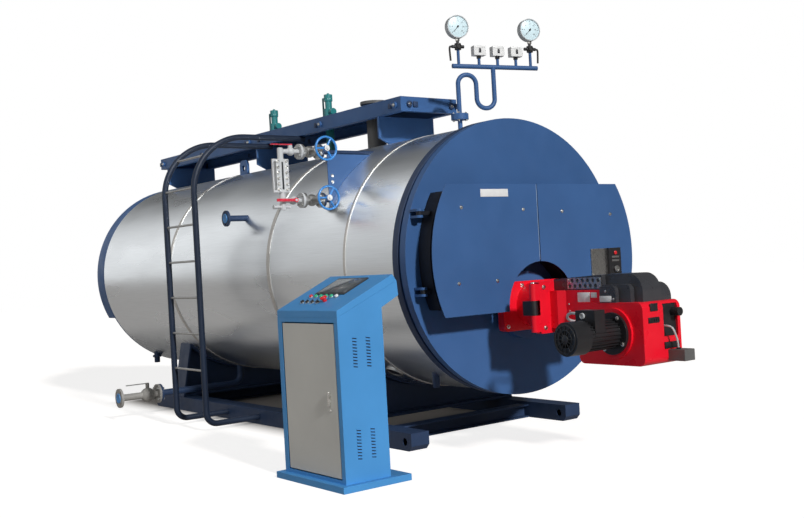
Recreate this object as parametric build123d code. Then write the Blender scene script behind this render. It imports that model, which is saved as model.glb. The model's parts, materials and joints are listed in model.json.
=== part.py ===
"""Horizontal fire-tube steam boiler on a skid, with its burner, platform, ladder and control desk.

Millimetres. +X points out of the burner front, -Y to the ladder side, +Z up.
The origin is the middle of the front cross beam's underside, on the floor.
"""
from build123d import *
import math
import os

os.makedirs("parts", exist_ok=True)

# Drum
FRONT_X = 785.0
CLAD_R = 930.0
AXIS_Z = CLAD_R + 332.0
CLAD_WALL = 14.0
SHELL_LENGTH = 5310.0
FLANGE_R = CLAD_R + 20.0
FLANGE_T = 65.0
GASKET_T = 25.0
GASKET_R = CLAD_R + 8.0
FRONT_PLATE_T = 60.0
REAR_PLATE_T = 30.0
REAR_COVER_DEPTH = 170.0
REAR_COVER_WALL = 12.0
REAR_COVER_FLAT_Z = AXIS_Z - 412.0
BAND_T = 4.0
BAND_W = 46.0
BAND_PITCH = 1888.0
BAND_FIRST = 1885.0
EDGE_BAND_BACK = 769.0
EDGE_BAND_W = 26.0

# Front doors
DOOR_R = CLAD_R - 80.0
DOOR_T = 124.0
DOOR_GAP = 6.0
DOOR_TOP_Z = AXIS_Z + 438.0
DOOR_BOTTOM_Z = AXIS_Z - 317.0
DOOR_NOTCH_R = 330.0
COVER_R = CLAD_R - 33.0
COVER_T = 6.0
COVER_STAND_OFF = 210.0
COVER_TOP_Z = AXIS_Z + 478.0
COVER_BOTTOM_Z = AXIS_Z - 362.0
COVER_NOTCH_R = 293.0
SEAM_GAP = 8.0
STUD_R = 11.0
STUD_OUTER_Y = DOOR_R - 200.0
STUD_OUTER_Z = AXIS_Z + 328.0
STUD_OUTER_DROP = 66.0
STUD_INNER_Y = 132.0
STUD_INNER_Z = AXIS_Z + 308.0
STUD_INNER_SHIFT = 89.0
STUD_INNER_DROP = 17.0
STUD_LOW_Y = DOOR_R - 150.0
STUD_LOW_INNER_Y = 385.0
STUD_LOW_Z = AXIS_Z - 154.0
STUD_LOW_DROP = 38.0
LATCH_R = 18.0
LATCH_L = 54.0
HINGE_Y = DOOR_R + 22.0
HINGE_OFF = 68.0
HINGE_UPPER_Z = AXIS_Z + 304.0
HINGE_LOWER_Z = AXIS_Z - 194.0
HINGE_PIN_R = 12.0
HINGE_ARM_H = 24.0
HINGE_ARM_HALF = 20.0
HINGE_EAR_H = 16.0
HINGE_EAR_HALF = 24.0
HINGE_SIDE_GAP = 1.0
PIN_CLEARANCE = 0.06
INSTRUMENT_W = 277.0
INSTRUMENT_H = 192.0
INSTRUMENT_T = 8.0
INSTRUMENT_Y = COVER_R - 289.0
INSTRUMENT_Z = AXIS_Z - 76.0
CONTROLLER_W = 120.0
CONTROLLER_T = 22.0
TUBE_R = 26.0
TUBE_PITCH = 104.0
TUBE_DEPTH = 40.0
TUBE_FIELD_R = CLAD_R - 150.0
TUBE_FURNACE_R = 400.0
TUBE_ROWS = 7
TUBES_ACROSS = 8

# Burner
BURNER_Z = AXIS_Z - 337.0
FURNACE_PLATE_R = 232.0
FURNACE_PLATE_T = 60.0
MOUTH_W = 540.0
MOUTH_H = 330.0
MOUTH_CORNER = 34.0
MOUTH_PLATE_T = 60.0
THROAT_R = 155.0
THROAT_L = 345.0
MOUTH_BORE_R = 130.0
SWING_GAP = 8.0
SWING_W = 600.0
SWING_T = 50.0
SWING_CORNER = 8.0
BURNER_PIN_R = 11.0
KNUCKLE_R = 24.0
KNUCKLE_GAP = 6.0
KNUCKLE_H = 92.0
BRACKET_DEPTH = 50.0
EAR_H = 106.0
EAR_GAP = 1.0
COLLAR_LEFT = 212.0
COLLAR_L = 66.0
COLLAR_TAPER = 48.0
NECK_LEFT = 178.0
NECK_BOTTOM_Z = BURNER_Z - 135.0
NECK_TOP_Z = BURNER_Z + 103.0
FAN_BACK = 754.0
FAN_FRONT = 1307.0
FAN_LEFT = 200.0
FAN_RIGHT = 130.0
FAN_BOTTOM_Z = BURNER_Z - 352.0
FAN_TOP_Z = BURNER_Z + 25.0
FAN_CORNER = 45.0
HOOD_STEP = 960.0
HOOD_FRONT = 1262.0
HOOD_BACK_TOP_Z = BURNER_Z + 175.0
HOOD_TOP_Z = BURNER_Z + 195.0
HOOD_CORNER = 110.0
HOOD_LEFT = 172.0
HOOD_RIGHT = 108.0
HOOD_RIDGE_LEFT = 140.0
HOOD_RIDGE_RIGHT = 20.0
SHOULDER_TOP_Z = BURNER_Z + 133.0
SHOULDER_FRONT = 1192.0
SHOULDER_CORNER = 36.0
POD_FRONT = 1095.0
POD_TOP_Z = BURNER_Z + 125.0
FAR_HOOD_CORNER = 90.0
PANEL_DEPTH = 30.0
PANEL_W = 126.0
PANEL_LOW_Z = BURNER_Z - 190.0
PANEL_TOP_Z = BURNER_Z + 5.0
PANEL_FRAME = 26.0
MOTOR_X = 1070.0
MOTOR_Z = BURNER_Z - 159.0
MOTOR_R = 90.0
MOTOR_BOSS_R = 152.0
MOTOR_BOSS_T = 14.0
MOTOR_FLANGE_R = 128.0
MOTOR_FLANGE_T = 18.0
MOTOR_BODY_L = 248.0
MOTOR_FIN_H = 10.0
MOTOR_FIN_T = 4.0
MOTOR_FINS = 24
COWL_R = 100.0
COWL_L = 124.0
TERMINAL_L = 164.0
TERMINAL_W = 84.0
TERMINAL_OUT = 42.0
TERMINAL_TOP_Z = BURNER_Z - 4.0
GRILLE_BACK = 655.0
GRILLE_L = 299.0
GRILLE_LOW_Z = BURNER_Z + 111.0
GRILLE_H = 68.0
GRILLE_T = 6.0
GRILLE_HOLE_R = 13.0
GRILLE_HOLES = 6
DRIVE_L = 128.0
DRIVE_W = 92.0
DRIVE_IN = 34.0
DRIVE_LOW_Z = BURNER_Z - 336.0
DRIVE_H = 68.0
KNOB_R = 26.0
KNOB_L = 46.0

# Skid
RUNNER_Y = 702.0
RUNNER_W = 146.0
RUNNER_H = 121.0
RUNNER_WALL = 10.0
RUNNER_FRONT_BACK = 305.0
RUNNER_LENGTH = 4345.0
RUNNER_CHAMFER = 34.0
LASHING_R = 26.0
LASHING_BACK = 76.0
BEAM_W = 120.0
BEAM_H = 100.0
BEAM_FLANGE = 12.0
BEAM_WEB = 10.0
REAR_BEAM_BACK = 4310.0
SADDLE_FRONT_BACK = 1180.0
SADDLE_REAR_BACK = 4150.0
SADDLE_WEB = 24.0
SADDLE_L = 220.0
SADDLE_FOOT_T = 20.0
SADDLE_PAD_T = 16.0
SADDLE_TOP_Z = AXIS_Z - CLAD_R + 278.0
SADDLE_SIDE_T = 20.0

# Platform
PLATFORM_FRONT_BACK = 953.0
PLATFORM_LENGTH = 4528.0
PLATFORM_HALF = 260.0
PLATFORM_TOP_Z = AXIS_Z + CLAD_R + 304.0
DECK_T = 6.0
CHANNEL_H = 104.0
CHANNEL_W = 50.0
CHANNEL_T = 9.0
SUPPORT_SHARES = (0.9609, 0.5135, 0.0687)
SUPPORT_HALF = PLATFORM_HALF
SUPPORT_T = 20.0
SUPPORT_SIDE_H = 164.0
SUPPORT_FOOT = 170.0
SOCKET_SHARES = (0.0163, 0.2604, 0.4872, 0.5448, 0.7599, 0.9821)
SOCKET_R = 24.0
SOCKET_L = 16.0
SOCKET_BORE_R = 13.0
LUG_BACK = 3560.0
LUG_Y = 250.0
LUG_W = 150.0
LUG_T = 24.0
LUG_H = 130.0
LUG_HOLE_R = 28.0
VALVE_BACKS = (2418.0, 3400.0)
VALVE_R = 36.0
VALVE_FLANGE_R = 54.0
VALVE_FLANGE_T = 20.0
VALVE_NECK_H = 60.0
VALVE_BODY_H = 62.0
VALVE_BELLY_R = 44.0
VALVE_SPRING_H = 86.0
VALVE_SPRING_R = 29.0
VALVE_CAP_H = 36.0
VALVE_OUTLET_R = 29.0
VALVE_OUTLET_L = 80.0
VALVE_LEVER_L = 94.0
VALVE_LEVER_W = 14.0
VALVE_LEVER_T = 11.0
STEAM_BACK = 1692.0
STEAM_R = 120.0
STEAM_PIPE_R = 76.0
STEAM_WALL = 10.0
STEAM_FLANGE_T = 24.0
STEAM_PCD = 200.0
STEAM_BOLTS = 8
STEAM_HOLE_R = 9.0
STEAM_H = 75.0

# Gauge stand
STAND_BACK = 583.0
STAND_TURN = 75.0
STAND_PIPE_R = 17.0
STAND_FLANGE_R = 64.0
STAND_FLANGE_T = 22.0
STAND_FLANGE_Z = AXIS_Z + CLAD_R + 108.0
SIPHON_TOP_Z = STAND_FLANGE_Z + 310.0
SIPHON_LOW_Z = STAND_FLANGE_Z + 66.0
SIPHON_BEND_R = 72.0
MANIFOLD_R = 17.0
MANIFOLD_Z = SIPHON_TOP_Z + 62.0
MANIFOLD_LEFT = 36.0
MANIFOLD_LENGTH = 691.0
GAUGE_R = 84.0
GAUGE_T = 56.0
GAUGE_RIM = 8.0
GAUGE_FIRST = 15.0
GAUGE_PITCH = 587.0
COCK_Z = MANIFOLD_Z + 143.0
COCK_R = 24.0
GAUGE_Z = COCK_Z + 143.0
STEM_R = 11.0
SWITCH_FIRST = 178.0
SWITCH_PITCH = 150.5
SWITCH_W = 96.0
SWITCH_D = 60.0
SWITCH_H = 72.0
SWITCH_Z = MANIFOLD_Z + 80.0

# Water gauge
LEVEL_BACK = 1135.0
LEVEL_HIGH_Z = AXIS_Z + CLAD_R - 107.0
LEVEL_LOW_Z = LEVEL_HIGH_Z - 345.0
LEVEL_PIPE_R = 17.0
LEVEL_FLANGE_R = 54.0
LEVEL_FLANGE_T = 16.0
LEVEL_REACH = math.sqrt(CLAD_R ** 2 - (LEVEL_LOW_Z - LEVEL_FLANGE_R - AXIS_Z) ** 2)
VALVE_CLEARANCE = 42.0
VALVE_INNER_Y = round(LEVEL_REACH) + VALVE_CLEARANCE
VALVE_LENGTH = 150.0
VALVE_BODY_R = 42.0
BONNET_R = 24.0
BONNET_L = 120.0
STEM_L = 236.0
SPINDLE_R = 9.0
WHEEL_R = 80.0
WHEEL_RIM_R = 8.0
WHEEL_HUB_R = 20.0
WHEEL_HUB_L = 26.0
WHEEL_SPOKE_R = 7.0
WHEEL_SPOKES = 3
COLUMN_Y = VALVE_INNER_Y + VALVE_LENGTH + 155.0
COLUMN_W = 96.0
COLUMN_D = 46.0
COLUMN_POST_R = 21.0
COLUMN_POST_OVER = 26.0
COLUMN_POST_UNDER = 66.0
COLUMN_END_GAP = 56.0
GLASS_W = 14.0
GLASS_MARGIN = 20.0
GLASS_DEPTH = 10.0
SCALE_W = 16.0
SCALE_T = 8.0
SCALE_OFF = 20.0
DRAIN_R = 11.0
DRAIN_L = 52.0
DRAIN_KNOB_R = 15.0
DRAIN_KNOB_L = 22.0
COCK_BODY_R = 30.0
LEVER_L = 150.0
LEVER_W = 20.0
LEVER_T = 8.0
LEVER_GAP = 0.3
GLAND_R = 16.0
GLAND_H = 14.0
BRACKET_T = 8.0
BRACKET_OFF = 40.0
BRACKET_Y = CLAD_R - 100.0

# Nozzle and blow-down
NOZZLE_BACK = 2412.0
NOZZLE_Z = AXIS_Z + 428.0
NOZZLE_R = 24.0
NOZZLE_BORE_R = 18.0
NOZZLE_BORE_L = 120.0
NOZZLE_END_Y = CLAD_R + 80.0
NOZZLE_FLANGE_R = 64.0
NOZZLE_FLANGE_T = 18.0
NOZZLE_PCD = 96.0
NOZZLE_BOLTS = 4
NOZZLE_HOLE_R = 7.0
BLOW_BACK = 3860.0
BLOW_Z = 205.0
BLOW_R = 30.0
BLOW_BORE_R = 22.0
BLOW_ROOT_Y = 260.0
BLOW_BEND_R = 90.0
BLOW_VALVE_Y = CLAD_R + 130.0
BLOW_VALVE_L = 200.0
BLOW_END_Y = BLOW_VALVE_Y + BLOW_VALVE_L + 160.0
BLOW_FLANGE_R = 84.0
BLOW_FLANGE_T = 20.0
BLOW_PCD = 126.0
BLOW_BOLTS = 4
BLOW_HOLE_R = 9.0
BLOW_LEVER_L = 190.0
BLOW_BODY_R = 63.0

# Ladder
LADDER_BACK = 2790.0
LADDER_W = 580.0
LADDER_Y = CLAD_R + 290.0
LADDER_FOOT_Z = 60.0
LADDER_FOOT_BEND = 90.0
LADDER_TOP_BEND = 460.0
LADDER_SEAT_GAP = 0.3
STILE_R = 24.0
RUNG_R = 9.0
RUNG_PITCH = 292.0
RUNG_FIRST_Z = 488.0
RUNGS = 7

# Control desk
DESK_BACK = 305.0
DESK_W = 697.0
DESK_FRONT_Y = CLAD_R + 770.0
DESK_DEPTH = 298.0
DESK_WALL = 4.0
DESK_BODY_TOP_Z = 974.0
PLINTH_OUT = 42.0
PLINTH_DEPTH = 455.0
PLINTH_H = 39.0
LID_T = 40.0
LID_BACK_Y = DESK_FRONT_Y - 384.0
LID_BACK_Z = DESK_BODY_TOP_Z + 225.0
LID_TIP_Y = DESK_FRONT_Y - 410.0
LID_TIP_Z = DESK_BODY_TOP_Z + 186.0
HEAD_TIP_Y = DESK_FRONT_Y - 417.0
HEAD_TIP_Z = DESK_BODY_TOP_Z + 100.0
HEAD_ROOT_Z = DESK_BODY_TOP_Z + 38.0
DESK_DOOR_GAP = 8.0
DESK_DOOR_T = 16.0
DESK_PIN_R = 5.0
DESK_PIN_L = 24.0
DESK_DOOR_IN = 55.0
DESK_DOOR_W = DESK_W - 102.0
DESK_DOOR_LOW_Z = 68.0
DESK_DOOR_TOP_Z = DESK_BODY_TOP_Z - 36.0
HANDLE_IN = 88.0
HANDLE_W = 20.0
HANDLE_T = 14.0
HANDLE_H = 86.0
HANDLE_Z = 468.0
SCREEN_W = 335.0
SCREEN_UP = 186.0
SCREEN_H = 195.0
SCREEN_LEFT = 174.0
SCREEN_T = 8.0
BUTTON_R = 13.0
BUTTON_H = 16.0
BUTTON_PITCH = 59.0
LAMP_UP = SCREEN_UP - 26.0
LAMPS = 6
SELECTOR_UP = LAMP_UP - 68.0
SELECTORS = 4
STOP_R = 20.0
BUTTONS_LEFT = 175.0


def block(x0, x1, y0, y1, z0, z1):
    """A box between two corners."""
    place = Pos((x0 + x1) / 2, (y0 + y1) / 2, (z0 + z1) / 2)
    return place * Box(x1 - x0, y1 - y0, z1 - z0)


def rod_x(x0, x1, radius, y, z):
    """A round bar along X."""
    return Pos((x0 + x1) / 2, y, z) * Rot(0, 90, 0) * Cylinder(radius, abs(x1 - x0))


def rod_y(y0, y1, radius, x, z):
    """A round bar along Y."""
    return Pos(x, (y0 + y1) / 2, z) * Rot(90, 0, 0) * Cylinder(radius, abs(y1 - y0))


def rod_z(z0, z1, radius, x, y):
    """A round bar along Z."""
    return Pos(x, y, (z0 + z1) / 2) * Cylinder(radius, abs(z1 - z0))


def drum_solid(radius, x0, x1):
    """A solid cylinder on the drum's axis."""
    return rod_x(x0, x1, radius, 0, AXIS_Z)


def drum_half_width(z, radius=CLAD_R):
    """Half the drum's width at height z."""
    return math.sqrt(radius ** 2 - (z - AXIS_Z) ** 2)


def swept(points, bend, radius):
    """A round bar along a line of points in space, with rounded corners."""
    route = FilletPolyline(*points, radius=bend)
    return sweep(Plane(route @ 0, z_dir=route % 0) * Circle(radius), path=route)


def ring_of_holes(place, pcd, count, radius, depth):
    """Bolt holes round a place, along its Z."""
    return [place * spot * Cylinder(radius, depth) for spot in PolarLocations(pcd / 2, count)]


def save(name, *shapes):
    """Write one node, as all the solids of the given shapes."""
    solids = [solid for shape in shapes for solid in shape.solids()]
    export_step(solids[0] if len(solids) == 1 else Compound(solids), f"parts/{name}.step")


def build_skid():
    """Two box runners, two cross beams and the two saddles under the drum."""
    front = FRONT_X - RUNNER_FRONT_BACK
    rear = front - RUNNER_LENGTH
    runners = []
    for side in (-1, 1):
        middle = side * RUNNER_Y
        low, high = middle - RUNNER_W / 2, middle + RUNNER_W / 2
        bar = block(rear, front, low, high, 0, RUNNER_H)
        ends = bar.edges().filter_by(Axis.Y).group_by(Axis.Z)[0]
        bar = chamfer(ends, RUNNER_CHAMFER)
        room = RUNNER_WALL
        bar -= block(rear + RUNNER_CHAMFER + room, front - RUNNER_CHAMFER - room, low + room,
                     high - room, room, RUNNER_H - room)
        bar -= rod_y(low - 1, high + 1, LASHING_R, front - LASHING_BACK, RUNNER_H / 2)
        runners.append(bar)
    save("runners", *runners)

    half = RUNNER_Y - RUNNER_W / 2
    beams = []
    for centre in (0.0, FRONT_X - REAR_BEAM_BACK):
        x0, x1 = centre - BEAM_W / 2, centre + BEAM_W / 2
        beam = block(x0, x1, -half, half, 0, BEAM_FLANGE)
        beam += block(x0, x1, -half, half, BEAM_H - BEAM_FLANGE, BEAM_H)
        beam += block(centre - BEAM_WEB / 2, centre + BEAM_WEB / 2, -half, half, 0, BEAM_H)
        beams.append(beam)
    save("cross_beams", *beams)
    save("saddles", *[saddle(FRONT_X - back) for back in (SADDLE_FRONT_BACK, SADDLE_REAR_BACK)])


def saddle(centre):
    """Cradle of web, slanted cheeks, foot plates and a wear pad under the drum."""
    foot = RUNNER_Y + RUNNER_W / 2 - SADDLE_FOOT_T
    top_half = drum_half_width(SADDLE_TOP_Z)
    outline = Polyline((-foot, RUNNER_H), (foot, RUNNER_H), (top_half, SADDLE_TOP_Z),
                       (-top_half, SADDLE_TOP_Z), close=True)
    inner = Polyline((-foot + SADDLE_SIDE_T, RUNNER_H + SADDLE_FOOT_T),
                     (foot - SADDLE_SIDE_T, RUNNER_H + SADDLE_FOOT_T),
                     (top_half - SADDLE_SIDE_T, SADDLE_TOP_Z + 1),
                     (-top_half + SADDLE_SIDE_T, SADDLE_TOP_Z + 1), close=True)
    base = Plane.YZ.offset(centre)
    full = extrude(base * make_face(outline), SADDLE_L / 2, both=True)
    room = extrude(base * make_face(inner), SADDLE_L / 2, both=True)
    web = room & block(centre - SADDLE_WEB / 2, centre + SADDLE_WEB / 2, -CLAD_R, CLAD_R, 0, AXIS_Z)
    pad = room & drum_solid(CLAD_R + SADDLE_PAD_T, centre - SADDLE_L / 2, centre + SADDLE_L / 2)
    return full - room + web + pad - drum_solid(CLAD_R, centre - SADDLE_L, centre + SADDLE_L)


def build_drum():
    """The clad shell, its ends, bands and small fittings."""
    shell_front = FRONT_X - FRONT_PLATE_T - GASKET_T - FLANGE_T
    shell_rear = shell_front - SHELL_LENGTH
    inner = CLAD_R - CLAD_WALL
    save("shell", drum_solid(CLAD_R, shell_rear, shell_front) - drum_solid(inner, shell_rear, shell_front))
    save("front_flange", drum_solid(FLANGE_R, shell_front, shell_front + FLANGE_T)
         - drum_solid(inner, shell_front, shell_front + FLANGE_T))
    plate = drum_solid(GASKET_R, shell_front + FLANGE_T, FRONT_X)
    plate += drum_solid(FLANGE_R, FRONT_X - FRONT_PLATE_T, FRONT_X)
    save("front_plate", plate - tube_mouths())
    save("rear_plate", drum_solid(CLAD_R, shell_rear - REAR_PLATE_T, shell_rear))

    cover_front = shell_rear - REAR_PLATE_T
    cover_rear = cover_front - REAR_COVER_DEPTH
    above = block(cover_rear - 1, cover_front + 1, -2 * CLAD_R, 2 * CLAD_R, REAR_COVER_FLAT_Z, 3 * CLAD_R)
    hollow_above = above.moved(Pos(0, 0, REAR_COVER_WALL))
    cover = drum_solid(CLAD_R, cover_rear, cover_front) & above
    hollow = drum_solid(CLAD_R - REAR_COVER_WALL, cover_rear + REAR_COVER_WALL, cover_front) & hollow_above
    cover -= hollow
    for z in (HINGE_UPPER_Z, HINGE_LOWER_Z):
        for side in (-1, 1):
            y = side * (drum_half_width(z) - 2 * HINGE_EAR_HALF)
            cover += rod_x(cover_rear - LATCH_L, cover_rear, LATCH_R, y, z)
    save("rear_cover", cover)
    save("cladding_bands", *bands())


def tube_mouths():
    """Staggered rows of smoke-tube ends in the front plate, round the furnace."""
    mouths = []
    for row in range(TUBE_ROWS):
        z = DOOR_TOP_Z - 2 * TUBE_R - row * TUBE_PITCH * math.sqrt(3) / 2 - TUBE_R
        for index in range(TUBES_ACROSS):
            y = (index + 0.5 + 0.5 * (row % 2)) * TUBE_PITCH
            from_axis = math.hypot(y, z - AXIS_Z)
            from_furnace = math.hypot(y, z - BURNER_Z)
            if from_axis + TUBE_R < TUBE_FIELD_R and from_furnace - TUBE_R > TUBE_FURNACE_R:
                mouths += [rod_x(FRONT_X - TUBE_DEPTH, FRONT_X, TUBE_R, side * y, z) for side in (-1, 1)]
    return mouths


def bands():
    """Thin hoops round the cladding: two over its joints and one at the front edge."""
    hoops = []
    places = [(BAND_FIRST, BAND_W), (BAND_FIRST + BAND_PITCH, BAND_W), (EDGE_BAND_BACK, EDGE_BAND_W)]
    for back, width in places:
        x0, x1 = FRONT_X - back - width / 2, FRONT_X - back + width / 2
        hoops.append(drum_solid(CLAD_R + BAND_T, x0, x1) - drum_solid(CLAD_R, x0, x1))
    return hoops


def leaf_outline(side, radius, top, bottom, notch):
    """One half of the round door, cut straight above and below, with the burner notch."""
    leaf = Pos(0, AXIS_Z) * Circle(radius)
    width = 2 * radius
    leaf &= Pos(side * (SEAM_GAP / 2 + width / 2), (top + bottom) / 2) * Rectangle(width, top - bottom)
    leaf -= Pos(0, BURNER_Z) * Circle(notch)
    return Plane.YZ * leaf


def stud_places(name):
    """Where the cover's studs stand on a door: distance from the seam and height."""
    lower = name == "right"
    yield STUD_OUTER_Y + lower * STUD_LOW_DROP, STUD_OUTER_Z - lower * STUD_OUTER_DROP
    yield STUD_INNER_Y + lower * STUD_INNER_SHIFT, STUD_INNER_Z - lower * STUD_INNER_DROP
    yield STUD_LOW_Y, STUD_LOW_Z - lower * STUD_LOW_DROP
    yield STUD_LOW_INNER_Y, STUD_LOW_Z - lower * STUD_LOW_DROP


def build_doors():
    """Two hinged smoke-box doors, each with a stood-off cover sheet on studs."""
    pin_x = FRONT_X + HINGE_OFF
    slab_front = FRONT_X + DOOR_GAP + DOOR_T
    cover_back = FRONT_X + COVER_STAND_OFF
    cover_front = cover_back + COVER_T
    lugs = []
    for name, side in (("left", -1), ("right", 1)):
        outline = leaf_outline(side, DOOR_R, DOOR_TOP_Z, DOOR_BOTTOM_Z, DOOR_NOTCH_R)
        slab = Pos(FRONT_X + DOOR_GAP, 0, 0) * extrude(outline, DOOR_T)
        pin_y = side * HINGE_Y
        for z in (HINGE_UPPER_Z, HINGE_LOWER_Z):
            low, high = z - HINGE_ARM_H / 2, z + HINGE_ARM_H / 2
            reach = side * (drum_half_width(z, DOOR_R) - HINGE_ARM_HALF)
            slab += block(pin_x - HINGE_ARM_HALF, pin_x + HINGE_ARM_HALF, min(pin_y, reach),
                          max(pin_y, reach), low, high)
            slab += rod_z(low, high, HINGE_ARM_HALF, pin_x, pin_y)
            slab -= rod_z(low, high, HINGE_PIN_R + PIN_CLEARANCE, pin_x, pin_y)
            lugs.append(hinge_lug(pin_x, pin_y, z))
        for y, z in stud_places(name):
            slab += rod_x(slab_front, cover_back, STUD_R, side * y, z)
        save(f"door_{name}", slab)

        outline = leaf_outline(side, COVER_R, COVER_TOP_Z, COVER_BOTTOM_Z, COVER_NOTCH_R)
        save(f"door_cover_{name}", Pos(cover_back, 0, 0) * extrude(outline, COVER_T))
    save("hinge_lugs", *lugs)

    y0, y1 = INSTRUMENT_Y - INSTRUMENT_W / 2, INSTRUMENT_Y + INSTRUMENT_W / 2
    z0, z1 = INSTRUMENT_Z - INSTRUMENT_H / 2, INSTRUMENT_Z + INSTRUMENT_H / 2
    plate_front = cover_front + INSTRUMENT_T
    save("instrument_plate", block(cover_front, plate_front, y0, y1, z0, z1))
    save("door_controller", block(plate_front, plate_front + CONTROLLER_T, y1 - CONTROLLER_W, y1, z0, z1))


def hinge_lug(pin_x, pin_y, z):
    """Clevis of two ears welded to the front plate, with its pin."""
    lug = rod_z(z - HINGE_ARM_H / 2 - HINGE_SIDE_GAP - HINGE_EAR_H,
                z + HINGE_ARM_H / 2 + HINGE_SIDE_GAP + HINGE_EAR_H, HINGE_PIN_R, pin_x, pin_y)
    for way in (-1, 1):
        near = z + way * (HINGE_ARM_H / 2 + HINGE_SIDE_GAP)
        far = near + way * HINGE_EAR_H
        low, high = min(near, far), max(near, far)
        lug += block(FRONT_X, pin_x, pin_y - HINGE_EAR_HALF, pin_y + HINGE_EAR_HALF, low, high)
        lug += rod_z(low, high, HINGE_EAR_HALF, pin_x, pin_y)
    return lug


def rounded_bar(x0, x1, width, z0, z1, corner):
    """A bar along X with rounded long edges, centred on Y = 0."""
    outline = Pos(0, (z0 + z1) / 2) * RectangleRounded(width, z1 - z0, corner)
    return Pos(x0, 0, 0) * extrude(Plane.YZ * outline, x1 - x0)


def build_burner():
    """The fixed mouth and the swinging burner with fan, motor and covers."""
    plate_front = FRONT_X + FURNACE_PLATE_T
    throat_front = plate_front + MOUTH_PLATE_T + THROAT_L
    bore = rod_x(FRONT_X, throat_front, MOUTH_BORE_R, 0, BURNER_Z)
    save("furnace_plate", rod_x(FRONT_X, plate_front, FURNACE_PLATE_R, 0, BURNER_Z) - bore)

    low, high = BURNER_Z - MOUTH_H / 2, BURNER_Z + MOUTH_H / 2
    mouth = rounded_bar(plate_front, plate_front + MOUTH_PLATE_T, MOUTH_W, low, high, MOUTH_CORNER)
    mouth += rod_x(plate_front, throat_front, THROAT_R, 0, BURNER_Z)
    save("burner_flange", mouth - bore)

    swing_back = throat_front + SWING_GAP
    swing_front = swing_back + SWING_T
    pin_x = (swing_back + swing_front) / 2
    edge = -SWING_W / 2
    pin_y = edge - KNUCKLE_GAP - KNUCKLE_R
    z0, z1 = BURNER_Z - KNUCKLE_H / 2, BURNER_Z + KNUCKLE_H / 2
    pin_low, pin_high = z0 - EAR_GAP - EAR_H, z1 + EAR_GAP + EAR_H
    hinge = rod_z(pin_low, pin_high, BURNER_PIN_R, pin_x, pin_y)
    hinge += rod_z(z0, z1, KNUCKLE_R, pin_x, pin_y)
    hinge += block(throat_front - BRACKET_DEPTH, pin_x, pin_y - KNUCKLE_R, pin_y + KNUCKLE_R, z0, z1)
    hinge += block(throat_front - BRACKET_DEPTH, throat_front, pin_y - KNUCKLE_R, 0, z0, z1)
    save("burner_hinge", hinge - rod_x(FRONT_X, throat_front, THROAT_R, 0, BURNER_Z))

    body = rounded_bar(swing_back, swing_front, SWING_W, low, high, SWING_CORNER)
    body += neck_solid(swing_front)
    fan_back, fan_front = FRONT_X + FAN_BACK, FRONT_X + FAN_FRONT
    fan = block(fan_back, fan_front, -FAN_LEFT, FAN_RIGHT, FAN_BOTTOM_Z, FAN_TOP_Z)
    body += fillet(fan.edges().filter_by(Axis.Y), FAN_CORNER)
    body += rod_y(-FAN_LEFT - MOTOR_BOSS_T, -FAN_LEFT, MOTOR_BOSS_R, FRONT_X + MOTOR_X, MOTOR_Z)
    for base, top in ((pin_low, z0 - EAR_GAP), (z1 + EAR_GAP, pin_high)):
        body += rod_z(base, top, KNUCKLE_R, pin_x, pin_y)
        body += block(pin_x - KNUCKLE_R, pin_x + KNUCKLE_R, pin_y, edge + KNUCKLE_R, base, top)
        body -= rod_z(base, top, BURNER_PIN_R + PIN_CLEARANCE, pin_x, pin_y)
    panel_y = FAN_RIGHT - PANEL_FRAME - PANEL_W
    recess = (panel_y, panel_y + PANEL_W, PANEL_LOW_Z, PANEL_TOP_Z)
    body -= block(fan_front - PANEL_DEPTH, fan_front, *recess)
    save("burner_body", body)
    panel = block(fan_front - PANEL_DEPTH, fan_front - PANEL_DEPTH / 2, *recess)
    panel += rod_x(fan_front - PANEL_DEPTH, fan_front + KNOB_L, KNOB_R, panel_y + PANEL_W - KNOB_R,
                   PANEL_TOP_Z - 2 * KNOB_R)
    save("burner_panel", panel)
    save("burner_hood", hood_solid(swing_front))
    save("burner_grille", grille_solid())
    save("burner_motor", motor_solid(FRONT_X + MOTOR_X))

    drive_y = FAN_RIGHT - DRIVE_IN - DRIVE_W
    save("damper_drive", block(fan_front, fan_front + DRIVE_L, drive_y, drive_y + DRIVE_W,
                               DRIVE_LOW_Z, DRIVE_LOW_Z + DRIVE_H))


def neck_solid(back):
    """Neck from the swinging flange to the fan: a wide collar that tapers in on the near side."""
    collar = back + COLLAR_L
    front = FRONT_X + HOOD_STEP
    outline = Polyline((back, -COLLAR_LEFT), (collar, -COLLAR_LEFT), (collar + COLLAR_TAPER, -NECK_LEFT),
                       (front, -NECK_LEFT), (front, HOOD_RIGHT), (back, HOOD_RIGHT), close=True)
    return Pos(0, 0, NECK_BOTTOM_Z) * extrude(make_face(outline), NECK_TOP_Z - NECK_BOTTOM_Z)


def hood_part(points, y0, y1, corner):
    """A length of the hood along Y, with its front upper corner rounded."""
    outline = make_face(Polyline(*points, close=True))
    front_top = outline.vertices().sort_by(Axis.X)[-2:].sort_by(Axis.Y)[-1]
    return Pos(0, y1, 0) * extrude(Plane.XZ * fillet(front_top, corner), y1 - y0)


def hood_step(back, front, top, y0, y1, corner):
    """A box-like length of the hood standing on the fan housing."""
    x0, x1 = FRONT_X + back, FRONT_X + front
    return hood_part([(x0, FAN_TOP_Z), (x1, FAN_TOP_Z), (x1, top), (x0, top)], y0, y1, corner)


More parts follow.
